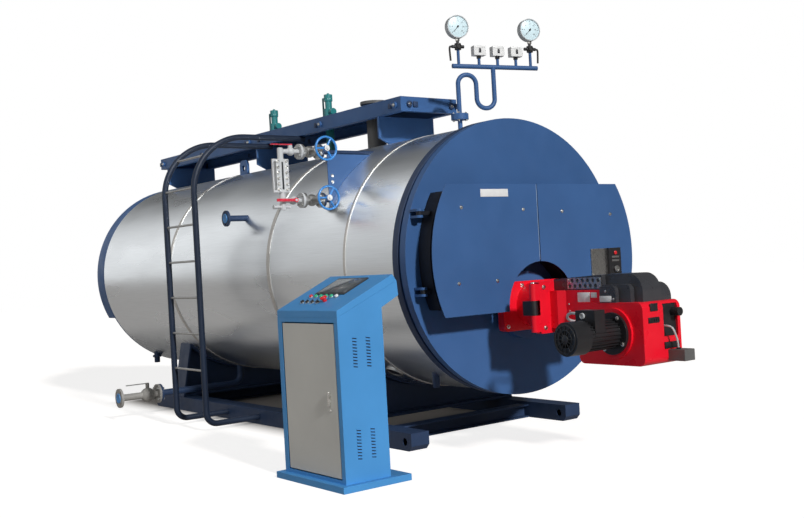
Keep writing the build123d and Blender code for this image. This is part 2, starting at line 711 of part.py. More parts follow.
def hood_solid(back):
    """Black top cover: a low back over the neck, then a high ridge with shoulders beside it."""
    step = FRONT_X + HOOD_STEP
    front = HOOD_FRONT
    left, ridge = -HOOD_LEFT, -HOOD_RIDGE_LEFT
    cover = hood_part([(back, NECK_TOP_Z), (step, NECK_TOP_Z), (step, HOOD_TOP_Z), (back, HOOD_BACK_TOP_Z)],
                      left, HOOD_RIGHT, HOOD_TOP_Z - HOOD_BACK_TOP_Z)
    cover += hood_step(HOOD_STEP, front, HOOD_TOP_Z, ridge, HOOD_RIDGE_RIGHT, HOOD_CORNER)
    cover += hood_step(HOOD_STEP, SHOULDER_FRONT, SHOULDER_TOP_Z, left, ridge, SHOULDER_CORNER)
    cover += hood_step(HOOD_STEP, front, SHOULDER_TOP_Z, HOOD_RIDGE_RIGHT, HOOD_RIGHT, FAR_HOOD_CORNER)
    return cover + hood_step(HOOD_STEP, POD_FRONT, POD_TOP_Z, -FAN_LEFT, left, SHOULDER_CORNER)


def grille_solid():
    """Perforated air plate with two staggered rows of round holes, on the hood's near side."""
    x0 = FRONT_X + GRILLE_BACK
    y0 = -HOOD_LEFT - GRILLE_T
    plate = block(x0, x0 + GRILLE_L, y0, -HOOD_LEFT, GRILLE_LOW_Z, GRILLE_LOW_Z + GRILLE_H)
    pitch = GRILLE_L / (GRILLE_HOLES + 0.5)
    for row in range(2):
        z = GRILLE_LOW_Z + (row + 0.5) * GRILLE_H / 2
        for index in range(GRILLE_HOLES):
            plate -= rod_y(y0, -HOOD_LEFT, GRILLE_HOLE_R, x0 + (index + 0.5 + row / 2) * pitch, z)
    return plate


def motor_solid(x):
    """Flanged motor with cooling fins and a fan cowl, lying along Y beside the fan."""
    face = -FAN_LEFT - MOTOR_BOSS_T
    body_end = face - MOTOR_FLANGE_T - MOTOR_BODY_L
    motor = rod_y(face, face - MOTOR_FLANGE_T, MOTOR_FLANGE_R, x, MOTOR_Z)
    motor += rod_y(face - MOTOR_FLANGE_T, body_end, MOTOR_R - MOTOR_FIN_H, x, MOTOR_Z)
    fin = block(-MOTOR_FIN_T / 2, MOTOR_FIN_T / 2, body_end, face - MOTOR_FLANGE_T, 0, MOTOR_R)
    for index in range(MOTOR_FINS):
        motor += Pos(x, 0, MOTOR_Z) * Rot(0, index * 360 / MOTOR_FINS, 0) * fin
    motor += rod_y(body_end, body_end - COWL_L, COWL_R, x, MOTOR_Z)
    middle = (face - MOTOR_FLANGE_T + body_end) / 2 - TERMINAL_OUT
    motor += block(x - TERMINAL_L / 2, x + TERMINAL_L / 2, middle - TERMINAL_W / 2, middle + TERMINAL_W / 2,
                   MOTOR_Z, TERMINAL_TOP_Z)
    return motor


def build_platform():
    """Channel frame with a deck on three supports, and what stands on it."""
    front = FRONT_X - PLATFORM_FRONT_BACK
    rear = front - PLATFORM_LENGTH
    frame_top = PLATFORM_TOP_Z - DECK_T
    frame_low = frame_top - CHANNEL_H
    frame = block(rear, front, -PLATFORM_HALF, PLATFORM_HALF, frame_low, frame_top)
    frame -= block(rear + CHANNEL_T, front - CHANNEL_T, CHANNEL_T - PLATFORM_HALF, PLATFORM_HALF - CHANNEL_T,
                   frame_low + CHANNEL_T, frame_top - CHANNEL_T)
    frame -= block(rear + CHANNEL_W, front - CHANNEL_W, CHANNEL_W - PLATFORM_HALF, PLATFORM_HALF - CHANNEL_W,
                   frame_low, frame_top)
    holes = [FRONT_X - back for back in VALVE_BACKS]
    deck = block(rear, front, -PLATFORM_HALF, PLATFORM_HALF, frame_top, PLATFORM_TOP_Z)
    for x in holes:
        deck -= rod_z(frame_top, PLATFORM_TOP_Z, VALVE_R, x, 0)
    deck -= rod_z(frame_top, PLATFORM_TOP_Z, STEAM_PIPE_R, FRONT_X - STEAM_BACK, 0)
    save("platform_deck", deck)

    supports = []
    foot_z = AXIS_Z + drum_half_width(AXIS_Z + SUPPORT_FOOT)
    corner_z = frame_low - SUPPORT_SIDE_H
    outline = Polyline((-SUPPORT_HALF, frame_low), (SUPPORT_HALF, frame_low), (SUPPORT_HALF, corner_z),
                       (SUPPORT_FOOT, foot_z), (-SUPPORT_FOOT, foot_z), (-SUPPORT_HALF, corner_z), close=True)
    for share in SUPPORT_SHARES:
        x = front - share * PLATFORM_LENGTH
        plate = extrude(Plane.YZ.offset(x - SUPPORT_T) * make_face(outline), SUPPORT_T)
        supports.append(plate - drum_solid(CLAD_R, x - 2 * SUPPORT_T, x + SUPPORT_T))
    save("platform_supports", *supports)

    middle = frame_top - CHANNEL_H / 2
    for share in SOCKET_SHARES:
        x = front - share * PLATFORM_LENGTH
        for side in (-1, 1):
            face = side * PLATFORM_HALF
            tip = face + side * SOCKET_L
            frame += rod_y(face, tip, SOCKET_R, x, middle) - rod_y(face, tip, SOCKET_BORE_R, x, middle)
    save("platform_frame", frame)

    lugs = []
    for side in (-1, 1):
        x = FRONT_X - LUG_BACK
        y = side * LUG_Y
        top = AXIS_Z + drum_half_width(AXIS_Z + LUG_Y) + LUG_H
        lug = block(x - LUG_W / 2, x + LUG_W / 2, y - LUG_T / 2, y + LUG_T / 2, AXIS_Z, top)
        lug = fillet(lug.edges().filter_by(Axis.Y).group_by(Axis.Z)[-1], LUG_W / 3)
        lug -= rod_y(y - LUG_T, y + LUG_T, LUG_HOLE_R, x, top - LUG_W / 2)
        lugs.append(lug - drum_solid(CLAD_R, x - LUG_W, x + LUG_W))
    save("lifting_lugs", *lugs)

    save("safety_valves", *[safety_valve(x) for x in holes])

    x = FRONT_X - STEAM_BACK
    top = PLATFORM_TOP_Z + STEAM_H
    outlet = rod_z(AXIS_Z, top, STEAM_PIPE_R, x, 0) - drum_solid(CLAD_R, x - STEAM_R, x + STEAM_R)
    outlet += rod_z(top - STEAM_FLANGE_T, top, STEAM_R, x, 0)
    outlet -= rod_z(AXIS_Z + CLAD_R + STEAM_WALL, top, STEAM_PIPE_R - STEAM_WALL, x, 0)
    holes_at = Pos(x, 0, top - STEAM_FLANGE_T / 2)
    outlet -= ring_of_holes(holes_at, STEAM_PCD, STEAM_BOLTS, STEAM_HOLE_R, STEAM_FLANGE_T)
    save("steam_outlet", outlet)


def safety_valve(x):
    """Spring safety valve: inlet pipe from the drum, belly, side outlet, spring housing, cap and lever."""
    deck = PLATFORM_TOP_Z
    belly = deck + VALVE_NECK_H
    spring = belly + VALVE_BODY_H
    cap = spring + VALVE_SPRING_H
    top = cap + VALVE_CAP_H
    inlet = rod_z(AXIS_Z, deck, VALVE_R, x, 0) - drum_solid(CLAD_R, x - VALVE_R, x + VALVE_R)
    outline = Polyline((0, deck), (VALVE_FLANGE_R, deck), (VALVE_FLANGE_R, deck + VALVE_FLANGE_T),
                       (VALVE_R, deck + VALVE_FLANGE_T), (VALVE_BELLY_R, belly), (VALVE_BELLY_R, spring),
                       (VALVE_SPRING_R, spring), (VALVE_SPRING_R, cap), (VALVE_R, cap), (VALVE_R, top),
                       (0, top), close=True)
    valve = Pos(x, 0, 0) * revolve(Plane.XZ * make_face(outline), Axis.Z)
    valve += rod_x(x, x + VALVE_OUTLET_L, VALVE_OUTLET_R, 0, (belly + spring) / 2)
    tip = x - VALVE_LEVER_L
    half = VALVE_LEVER_W / 2
    lever_top = (cap + top) / 2
    valve += block(tip, x, -half, half, lever_top - VALVE_LEVER_T, lever_top)
    valve += block(tip, tip + VALVE_LEVER_T, -half, half, belly, lever_top)
    return valve + inlet


def stand_place(along=0.0, z=0.0):
    """A place in the gauge stand's own upright plane."""
    return Pos(FRONT_X - STAND_BACK, 0, 0) * Rot(0, 0, STAND_TURN) * Pos(along, 0, z)


def build_gauge_stand():
    """Stand pipe, siphon, manifold, two pressure gauges and three pressure switches."""
    pipe = rod_z(AXIS_Z, STAND_FLANGE_Z - STAND_FLANGE_T, STAND_PIPE_R, FRONT_X - STAND_BACK, 0)
    pipe -= drum_solid(CLAD_R, FRONT_X - STAND_BACK - STAND_FLANGE_R, FRONT_X - STAND_BACK + STAND_FLANGE_R)
    pipe += rod_z(STAND_FLANGE_Z - STAND_FLANGE_T, STAND_FLANGE_Z, STAND_FLANGE_R, FRONT_X - STAND_BACK, 0)
    save("stand_pipe", pipe)

    second = 2 * SIPHON_BEND_R
    third = 4 * SIPHON_BEND_R
    route = FilletPolyline((0, 0, STAND_FLANGE_Z), (0, 0, SIPHON_TOP_Z), (second, 0, SIPHON_TOP_Z),
                           (second, 0, SIPHON_LOW_Z), (third, 0, SIPHON_LOW_Z),
                           (third, 0, MANIFOLD_Z), radius=SIPHON_BEND_R * 0.98)
    siphon = sweep(Plane(route @ 0, z_dir=route % 0) * Circle(STAND_PIPE_R), path=route)
    siphon += rod_z(STAND_FLANGE_Z, STAND_FLANGE_Z + STAND_FLANGE_T, STAND_FLANGE_R, 0, 0)
    manifold = rod_x(-MANIFOLD_LEFT, MANIFOLD_LENGTH - MANIFOLD_LEFT, MANIFOLD_R, 0, MANIFOLD_Z)
    for index in range(2):
        at = GAUGE_FIRST + index * GAUGE_PITCH
        manifold += rod_z(MANIFOLD_Z, COCK_Z - COCK_R, STEM_R, at, 0)
    for index in range(3):
        at = SWITCH_FIRST + index * SWITCH_PITCH
        manifold += rod_z(MANIFOLD_Z, SWITCH_Z, STEM_R, at, 0)
    save("gauge_siphon", stand_place() * (siphon + manifold))

    cocks = []
    gauges = []
    for index in range(2):
        at = GAUGE_FIRST + index * GAUGE_PITCH
        cock = rod_z(COCK_Z - COCK_R, COCK_Z + COCK_R, COCK_R, at, 0)
        cock += rod_x(at - 2 * COCK_R, at + 2 * COCK_R, COCK_R / 2, 0, COCK_Z)
        cock += rod_z(COCK_Z, GAUGE_Z - GAUGE_R, STEM_R, at, 0)
        cocks.append(stand_place() * cock)
        case = rod_y(-GAUGE_T / 2, GAUGE_T / 2, GAUGE_R, at, GAUGE_Z)
        case -= rod_y(-GAUGE_T / 2, -GAUGE_T / 2 + GAUGE_RIM, GAUGE_R - GAUGE_RIM, at, GAUGE_Z)
        case -= rod_z(COCK_Z, GAUGE_Z - GAUGE_R, STEM_R, at, 0)
        gauges.append(stand_place() * case)
    save("gauge_cocks", *cocks)
    save("pressure_gauges", *gauges)

    switches = []
    for index in range(3):
        at = SWITCH_FIRST + index * SWITCH_PITCH
        box = block(at - SWITCH_W / 2, at + SWITCH_W / 2, -SWITCH_D / 2, SWITCH_D / 2, SWITCH_Z,
                    SWITCH_Z + SWITCH_H)
        switches.append(stand_place() * box)
    save("pressure_switches", *switches)


def build_water_gauge():
    """Two valved pipes off the drum carrying the upright glass gauge."""
    x = FRONT_X - LEVEL_BACK
    inner = -VALVE_INNER_Y
    outer = inner - VALVE_LENGTH
    face = -COLUMN_Y + COLUMN_POST_R
    middle = (inner + outer) / 2
    lever_y = (outer + face) / 2 - LEVEL_FLANGE_T / 2
    pipes = []
    valves = []
    cocks = []
    for name, z, turn in (("lower", LEVEL_LOW_Z, 90), ("upper", LEVEL_HIGH_Z, 0)):
        drum = drum_solid(CLAD_R, x - LEVEL_FLANGE_R, x + LEVEL_FLANGE_R)
        pipe = rod_y(inner, 0, LEVEL_PIPE_R, x, z) - drum
        pipe = pipe.solids().sort_by(Axis.Y)[0]
        pipes.append(pipe + rod_y(inner + LEVEL_FLANGE_T, inner, LEVEL_FLANGE_R, x, z))

        valve = rod_y(inner, inner - LEVEL_FLANGE_T, LEVEL_FLANGE_R, x, z)
        valve += rod_y(outer + LEVEL_FLANGE_T, outer, LEVEL_FLANGE_R, x, z)
        valve += rod_y(inner, outer, LEVEL_PIPE_R * 1.5, x, z)
        valve += Pos(x, middle, z) * Sphere(VALVE_BODY_R)
        valve += rod_x(x, x + BONNET_L, BONNET_R, middle, z)
        valves.append(valve + rod_x(x, x + STEM_L + WHEEL_HUB_L / 2, SPINDLE_R, middle, z))
        save(f"handwheel_{name}", handwheel(x + STEM_L, middle, z))

        cock = rod_y(outer, outer - LEVEL_FLANGE_T, LEVEL_FLANGE_R, x, z)
        post = rod_z(z - COLUMN_W, z + COLUMN_W, COLUMN_POST_R, x, -COLUMN_Y)
        cock += rod_y(outer, -COLUMN_Y, LEVEL_PIPE_R, x, z) - post
        cock += Pos(x, lever_y, z) * Sphere(COCK_BODY_R)
        seat = COCK_BODY_R + GLAND_H
        place = Pos(x, lever_y, z) * Rot(0, turn, 0)
        cocks.append(cock + place * gland(0, 0, 0, seat))
        save(f"gauge_lever_{name}", place * lever(0, 0, seat, LEVER_L))
    save("gauge_pipes", *pipes)
    save("gauge_valves", *valves)
    save("water_gauge_cocks", *cocks)

    save("gauge_column", gauge_column(x))

    plate_x = x + BRACKET_OFF
    drum = drum_solid(CLAD_R, plate_x - BRACKET_OFF, plate_x + BRACKET_OFF)
    plate = block(plate_x, plate_x + BRACKET_T, -BRACKET_Y, 0, AXIS_Z, LEVEL_HIGH_Z - LEVEL_PIPE_R) - drum
    save("gauge_bracket", plate.solids().sort_by(Axis.Y)[0])


def gauge_column(x):
    """Upright post with the glass body on it, a level scale beside it and a drain below."""
    y = -COLUMN_Y
    low, high = LEVEL_LOW_Z - COLUMN_POST_UNDER, LEVEL_HIGH_Z + COLUMN_POST_OVER
    body_low, body_high = LEVEL_LOW_Z + COLUMN_END_GAP, LEVEL_HIGH_Z - COLUMN_END_GAP
    post = fillet(rod_z(low, high, COLUMN_POST_R, x, y).edges().sort_by(Axis.Z)[-1], COLUMN_POST_R / 2)
    front = x + COLUMN_D / 2
    body = block(x - COLUMN_D / 2, front, y - COLUMN_W / 2, y + COLUMN_W / 2, body_low, body_high)
    slot = block(front - GLASS_DEPTH, front, y - GLASS_W / 2, y + GLASS_W / 2, body_low + GLASS_MARGIN,
                 body_high - GLASS_MARGIN)
    scale_y = y - COLUMN_W / 2 - SCALE_OFF
    scale = block(front - SCALE_W, front, scale_y - SCALE_T, scale_y, body_low, body_high)
    arms = block(front - SCALE_W, front, scale_y, y - COLUMN_W / 2, body_low, body_low + SCALE_W)
    arms += block(front - SCALE_W, front, scale_y, y - COLUMN_W / 2, body_high - SCALE_W, body_high)
    drain_z = low + COLUMN_POST_R
    drain = rod_y(y - DRAIN_L, y + DRAIN_L, DRAIN_R, x, drain_z)
    drain += rod_y(y - DRAIN_L - DRAIN_KNOB_L, y - DRAIN_L, DRAIN_KNOB_R, x, drain_z)
    return post + body - slot + scale + arms + drain


def gland(x, y, z, seat_z):
    """Upright gland with the spindle that carries a quarter-turn lever."""
    return rod_z(z, seat_z, GLAND_R, x, y) + rod_z(z, seat_z + LEVER_GAP + LEVER_T, SPINDLE_R, x, y)


def lever(x, y, seat_z, length):
    """Flat quarter-turn lever towards -Y, bored for its spindle."""
    low = seat_z + LEVER_GAP
    bar = rod_z(low, low + LEVER_T, GLAND_R, x, y)
    bar += block(x - LEVER_W / 2, x + LEVER_W / 2, y - length, y, low, low + LEVER_T)
    return bar - rod_z(low, low + LEVER_T, SPINDLE_R + PIN_CLEARANCE, x, y)


def handwheel(x, y, z):
    """Round rim on three spokes and a hub, turning about X."""
    wheel = Pos(x, y, z) * Rot(0, 90, 0) * Torus(WHEEL_R, WHEEL_RIM_R)
    wheel += rod_x(x - WHEEL_HUB_L / 2, x + WHEEL_HUB_L / 2, WHEEL_HUB_R, y, z)
    spoke = rod_z(0, WHEEL_R, WHEEL_SPOKE_R, 0, 0)
    for index in range(WHEEL_SPOKES):
        wheel += Pos(x, y, z) * Rot(90 + index * 360 / WHEEL_SPOKES, 0, 0) * spoke
    return wheel - rod_x(x - WHEEL_HUB_L, x + WHEEL_HUB_L, SPINDLE_R + PIN_CLEARANCE, y, z)


def build_pipework():
    """Feed nozzle on the drum's side and the blow-down line under it."""
    x = FRONT_X - NOZZLE_BACK
    end = -NOZZLE_END_Y
    drum = drum_solid(CLAD_R, x - NOZZLE_FLANGE_R, x + NOZZLE_FLANGE_R)
    nozzle = rod_y(end, 0, NOZZLE_R, x, NOZZLE_Z) - drum
    nozzle = nozzle.solids().sort_by(Axis.Y)[0]
    nozzle += rod_y(end, end + NOZZLE_FLANGE_T, NOZZLE_FLANGE_R, x, NOZZLE_Z)
    nozzle -= rod_y(end, end + NOZZLE_BORE_L, NOZZLE_BORE_R, x, NOZZLE_Z)
    holes = Pos(x, end + NOZZLE_FLANGE_T / 2, NOZZLE_Z) * Rot(90, 0, 0)
    nozzle -= ring_of_holes(holes, NOZZLE_PCD, NOZZLE_BOLTS, NOZZLE_HOLE_R, NOZZLE_FLANGE_T)
    save("feed_nozzle", nozzle)

    x = FRONT_X - BLOW_BACK
    root_z = AXIS_Z - CLAD_R / 2
    pipe = swept([(x, -BLOW_ROOT_Y, root_z), (x, -BLOW_ROOT_Y, BLOW_Z), (x, -BLOW_VALVE_Y, BLOW_Z)],
                 BLOW_BEND_R, BLOW_R)
    pipe -= drum_solid(CLAD_R, x - BLOW_FLANGE_R, x + BLOW_FLANGE_R)
    pipe += rod_y(-BLOW_VALVE_Y, -BLOW_VALVE_Y + BLOW_FLANGE_T, BLOW_FLANGE_R, x, BLOW_Z)
    save("blowdown_pipe", pipe)

    start = -BLOW_VALVE_Y
    stop = start - BLOW_VALVE_L
    middle = (start + stop) / 2
    valve = rod_y(start, start - BLOW_FLANGE_T, BLOW_FLANGE_R, x, BLOW_Z)
    valve += rod_y(start, -BLOW_END_Y, BLOW_R, x, BLOW_Z)
    valve += Pos(x, middle, BLOW_Z) * Sphere(BLOW_BODY_R)
    seat_z = BLOW_Z + BLOW_FLANGE_R + GLAND_H
    valve += gland(x, middle, BLOW_Z, seat_z)
    valve += rod_y(-BLOW_END_Y, -BLOW_END_Y + BLOW_FLANGE_T, BLOW_FLANGE_R, x, BLOW_Z)
    valve -= rod_y(-BLOW_END_Y, -BLOW_END_Y + BLOW_VALVE_L / 2, BLOW_BORE_R, x, BLOW_Z)
    holes = Pos(x, -BLOW_END_Y + BLOW_FLANGE_T / 2, BLOW_Z) * Rot(90, 0, 0) * Rot(0, 0, 45)
    valve -= ring_of_holes(holes, BLOW_PCD, BLOW_BOLTS, BLOW_HOLE_R, BLOW_FLANGE_T)
    save("blowdown_valve", valve)
    save("blowdown_lever", lever(x, middle, seat_z, BLOW_LEVER_L))


def build_ladder():
    """Two bent tube stiles from the runner to the underside of the platform's edge, with thin rungs."""
    run_z = PLATFORM_TOP_Z - DECK_T - CHANNEL_H - STILE_R - LADDER_SEAT_GAP
    end_y = CHANNEL_W - PLATFORM_HALF
    foot_y = -(RUNNER_Y + RUNNER_W / 2)
    stiles = []
    for side in (-1, 1):
        x = FRONT_X - LADDER_BACK + side * LADDER_W / 2
        low = swept([(x, foot_y, LADDER_FOOT_Z), (x, -LADDER_Y, LADDER_FOOT_Z), (x, -LADDER_Y, AXIS_Z)],
                    LADDER_FOOT_BEND, STILE_R)
        high = swept([(x, -LADDER_Y, AXIS_Z), (x, -LADDER_Y, run_z), (x, end_y, run_z)], LADDER_TOP_BEND,
                     STILE_R)
        stiles.append(low + high)
    save("ladder_stiles", *stiles)

    rungs = []
    x0 = FRONT_X - LADDER_BACK - LADDER_W / 2
    bend_z = run_z - LADDER_TOP_BEND
    for index in range(RUNGS):
        rise = RUNG_FIRST_Z + index * RUNG_PITCH
        turn = max(0.0, rise - bend_z) / LADDER_TOP_BEND
        y = -LADDER_Y + LADDER_TOP_BEND * (1 - math.cos(turn))
        z = min(rise, bend_z) + LADDER_TOP_BEND * math.sin(turn)
        rungs.append(rod_x(x0, x0 + LADDER_W, RUNG_R, y, z) - stiles)
    save("ladder_rungs", *rungs)


def build_desk():
    """Control desk: plinth, hollow cabinet, sloping lid with screen and buttons, and the door."""
    left = FRONT_X - DESK_BACK
    right = left + DESK_W
    front = -DESK_FRONT_Y
    back = front + DESK_DEPTH
    save("desk_plinth", block(left - PLINTH_OUT, right + PLINTH_OUT, front - PLINTH_OUT,
                              front - PLINTH_OUT + PLINTH_DEPTH, 0, PLINTH_H))

    outline = Polyline((front, PLINTH_H), (back, PLINTH_H), (back, HEAD_ROOT_Z), (-HEAD_TIP_Y, HEAD_TIP_Z),
                       (-LID_TIP_Y, LID_TIP_Z), (front, DESK_BODY_TOP_Z), close=True)
    side_plane = Plane.YZ.offset(left)
    outer = extrude(side_plane * make_face(outline), DESK_W)
    room = block(left + DESK_WALL, right - DESK_WALL, front + DESK_DOOR_T, back - DESK_WALL,
                 PLINTH_H + DESK_WALL, DESK_BODY_TOP_Z - DESK_WALL)
    gap = DESK_DOOR_GAP
    door_left = left + DESK_DOOR_IN
    door_right = door_left + DESK_DOOR_W
    doorway = block(door_left - gap, door_right + gap, front, front + DESK_DOOR_T,
                    DESK_DOOR_LOW_Z - gap, DESK_DOOR_TOP_Z + gap)
    pin_x, pin_y = door_left + DESK_DOOR_T / 2, front + DESK_DOOR_T / 2
    cabinet = outer - room - doorway
    door = block(door_left, door_right, front, front + DESK_DOOR_T, DESK_DOOR_LOW_Z, DESK_DOOR_TOP_Z)
    hinge_edges = door.edges().filter_by(Axis.Z).group_by(Axis.X)[0]
    door = fillet(hinge_edges, DESK_DOOR_T / 2 - PIN_CLEARANCE)
    for edge, way in ((DESK_DOOR_LOW_Z, 1), (DESK_DOOR_TOP_Z, -1)):
        root, tip = edge - way * gap, edge + way * DESK_PIN_L
        cabinet += rod_z(root, tip, DESK_PIN_R, pin_x, pin_y)
        door -= rod_z(edge, tip + way * PIN_CLEARANCE, DESK_PIN_R + PIN_CLEARANCE, pin_x, pin_y)
    save("desk_cabinet", cabinet)
    save("desk_door", door)

    slope = math.atan2(LID_BACK_Z - DESK_BODY_TOP_Z - LID_T, DESK_FRONT_Y - LID_BACK_Y)
    lid_outline = Polyline((front, DESK_BODY_TOP_Z), (-LID_TIP_Y, LID_TIP_Z), (-LID_BACK_Y, LID_BACK_Z),
                           (front, DESK_BODY_TOP_Z + LID_T), close=True)
    save("desk_lid", extrude(side_plane * make_face(lid_outline), DESK_W))

    top = Pos(left + DESK_W / 2, front, DESK_BODY_TOP_Z + LID_T) * Rot(math.degrees(slope), 0, 0)
    screen = block(-SCREEN_LEFT, SCREEN_W - SCREEN_LEFT, SCREEN_UP, SCREEN_UP + SCREEN_H, 0, SCREEN_T)
    save("desk_screen", top * screen)
    buttons = []
    for row, count in ((LAMP_UP, LAMPS), (SELECTOR_UP, SELECTORS)):
        for index in range(count):
            buttons.append(top * rod_z(0, BUTTON_H, BUTTON_R, index * BUTTON_PITCH - BUTTONS_LEFT, row))
    stop_x = SELECTORS * BUTTON_PITCH - BUTTONS_LEFT
    buttons.append(top * rod_z(0, 2 * BUTTON_H, STOP_R, stop_x, (LAMP_UP + 3 * SELECTOR_UP) / 4))
    save("desk_buttons", *buttons)

    handle_right = door_right - HANDLE_IN + HANDLE_W
    save("desk_handle", block(handle_right - HANDLE_W, handle_right, front - HANDLE_T, front, HANDLE_Z,
                              HANDLE_Z + HANDLE_H))


def main():
    """Build every group of the boiler."""
    build_skid()
    build_drum()
    build_doors()
    build_burner()
    build_platform()
    build_gauge_stand()
    build_water_gauge()
    build_pipework()
    build_ladder()
    build_desk()


main()
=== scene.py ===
"""Studio scene of a horizontal steam boiler, laid out as an add-on and run as a script."""
import json
import math

import bmesh
import bpy
from bpy.props import FloatProperty, FloatVectorProperty, PointerProperty
from mathutils import Matrix, Vector

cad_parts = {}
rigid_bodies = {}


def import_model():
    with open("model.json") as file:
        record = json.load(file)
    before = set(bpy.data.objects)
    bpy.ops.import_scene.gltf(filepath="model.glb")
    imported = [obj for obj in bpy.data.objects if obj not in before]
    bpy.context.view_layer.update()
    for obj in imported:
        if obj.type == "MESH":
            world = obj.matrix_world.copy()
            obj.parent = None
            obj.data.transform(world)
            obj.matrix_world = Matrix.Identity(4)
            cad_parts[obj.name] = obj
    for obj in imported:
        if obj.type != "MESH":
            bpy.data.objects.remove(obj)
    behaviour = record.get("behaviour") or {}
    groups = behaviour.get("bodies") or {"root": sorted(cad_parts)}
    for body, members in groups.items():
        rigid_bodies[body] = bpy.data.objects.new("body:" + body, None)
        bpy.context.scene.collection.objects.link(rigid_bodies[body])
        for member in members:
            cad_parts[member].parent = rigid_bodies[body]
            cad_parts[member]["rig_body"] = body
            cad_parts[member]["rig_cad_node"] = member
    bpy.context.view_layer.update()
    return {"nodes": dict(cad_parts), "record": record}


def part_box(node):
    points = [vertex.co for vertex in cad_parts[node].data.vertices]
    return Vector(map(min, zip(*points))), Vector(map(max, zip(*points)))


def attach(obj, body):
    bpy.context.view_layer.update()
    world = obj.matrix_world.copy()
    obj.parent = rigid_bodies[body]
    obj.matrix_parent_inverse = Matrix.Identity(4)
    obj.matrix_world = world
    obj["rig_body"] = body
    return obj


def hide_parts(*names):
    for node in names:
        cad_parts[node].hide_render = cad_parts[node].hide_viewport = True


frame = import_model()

bl_info = {
    "name": "Steam boiler",
    "version": (1, 0, 0),
    "blender": (4, 5, 0),
    "location": "3D View > Sidebar > Boiler",
    "description": "Dresses the boiler's solids with finishes and fittings and sets up its studio",
    "category": "Object",
}

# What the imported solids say
BODIES = frame["record"]["behaviour"]["bodies"]
BODY_OF = {node: body for body, members in BODIES.items() for node in members}
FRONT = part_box("front_plate")[1].x
AXIS_Z = (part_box("shell")[0].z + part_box("shell")[1].z) / 2
DRUM_R = (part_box("shell")[1].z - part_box("shell")[0].z) / 2
COVER_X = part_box("door_cover_left")[1].x
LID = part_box("desk_lid")

# Directions and turns
UP = Vector((0, 0, 1))
AHEAD = Vector((1, 0, 0))
NEAR = Vector((0, -1, 0))
HALF_QUARTER = math.radians(45)

# Smoothing and merging
PIECE_SMOOTH = 35.0
SKIN_SMOOTH = 32.0
TUBE_SMOOTH = 60.0
MERGE_DISTANCE = 0.00002
FLAT_ANGLE = math.radians(0.3)
SHARP_ANGLE = math.radians(40)


def colour_property(name, description, default):
    """A colour that a user may change."""
    return FloatVectorProperty(name=name, description=description, default=default,
                               subtype="COLOR", size=3, min=0.0, max=1.0)


def length_property(name, description, default, least=0.001):
    """A length that a user may change."""
    return FloatProperty(name=name, description=description, default=default, unit="LENGTH",
                         min=least)


def angle_property(name, description, degrees):
    """An angle that a user may change."""
    return FloatProperty(name=name, description=description, default=math.radians(degrees),
                         subtype="ANGLE")


def level_property(name, description, default, least=0.0):
    """A strength or power that a user may change."""
    return FloatProperty(name=name, description=description, default=default, min=least)


class BoilerFinishes(bpy.types.PropertyGroup):
    """Colours of the boiler's paints and metals."""

    blue: colour_property("Boiler blue", "Paint of drum ends and doors", (0.044, 0.118, 0.294))
    # Painted shade: a darker copy of the boiler blue, standing in for the shade on the skid, pipes
    # and front flange.
    navy: colour_property("Blue in shade", "Darker blue of the skid", (0.026, 0.050, 0.112))
    red: colour_property("Burner red", "Gloss paint of the burner", (0.880, 0.008, 0.026))
    black: colour_property("Moulding black", "Panel and cock bodies", (0.014, 0.014, 0.016))
    teal: colour_property("Valve teal", "Enamel of the safety valves", (0.020, 0.210, 0.215))
    wheel: colour_property("Wheel blue", "Enamel of the handwheels", (0.045, 0.260, 0.680))
    desk: colour_property("Desk blue", "Powder coat of the desk", (0.072, 0.305, 0.660))
    door: colour_property("Desk door grey", "Coat of the desk's door", (0.635, 0.632, 0.595))
    # Partly painted reflection: stainless grey with a blue tint that stands in for the sky mirrored
    # in the cladding.
    steel: colour_property("Stainless", "Brushed cladding sheet", (0.860, 0.900, 0.930))
    white: colour_property("White moulding", "Switch boxes and plates", (0.800, 0.805, 0.800))


class BoilerFittings(bpy.types.PropertyGroup):
    """Sizes of the small fittings."""

    edge: length_property("Edge radius", "Rounding of plate edges", 0.002, least=0.0)
    nut: length_property("Door nut", "Radius of the nuts on the door covers", 0.009)
    flange_bolt: length_property("Flange bolt", "Radius of the burner's bolt heads", 0.011)
    screw: length_property("Screw", "Radius of small cover screws", 0.006)
    louvre_w: length_property("Louvre width", "Width of a vent slot in the desk's side", 0.028)
    louvre_pitch: length_property("Louvre pitch", "Distance from slot to slot", 0.0178)


class BoilerStage(bpy.types.PropertyGroup):
    """Camera, light and floor of the studio."""

    camera_at: FloatVectorProperty(
        name="Camera ahead of the front", description="Camera place from the front plate",
        default=(5.54755, -4.75265, 1.2691), subtype="TRANSLATION", size=3)
    azimuth: angle_property("Azimuth", "Turn of the camera round the boiler", 49.3634)
    pitch: angle_property("Pitch", "Tilt of the camera", 0.068)
    roll: angle_property("Roll", "Roll of the camera", -3.219)
    lens: level_property("Lens", "Focal length in millimetres on a 36 mm sensor", 47.418, 1.0)
    sun: level_property("Key light", "Strength of the key light", 2.7)
    fill: level_property("Fill light", "Power of the soft near-side light in watts", 110.0)
    ambient: level_property("Ambient", "Strength of the even light from all round", 0.13)
    far_side: level_property("Far side", "How bright metal sees what lies beyond the boiler", 0.10)
    lift: level_property("Floor lift", "How far the floor is lifted to white for the eye", 0.80)
    floor: colour_property("Floor", "Colour of the studio floor", (0.44, 0.41, 0.385))


def finishes():
    """The scene's finish settings."""
    return bpy.context.scene.boiler_finishes


def fittings():
    """The scene's fitting sizes."""
    return bpy.context.scene.boiler_fittings


# Materials

def feed(tree, target, source):
    """Sets an input to a value, or links it to another node's output."""
    if isinstance(source, bpy.types.NodeSocket):
        tree.links.new(source, target)
    else:
        target.default_value = source


def node(tree, kind, **inputs):
    """A new shader node with its inputs fed."""
    made = tree.nodes.new("ShaderNode" + kind)
    for name, source in inputs.items():
        feed(tree, made.inputs[name.replace("_", " ")], source)
    return made


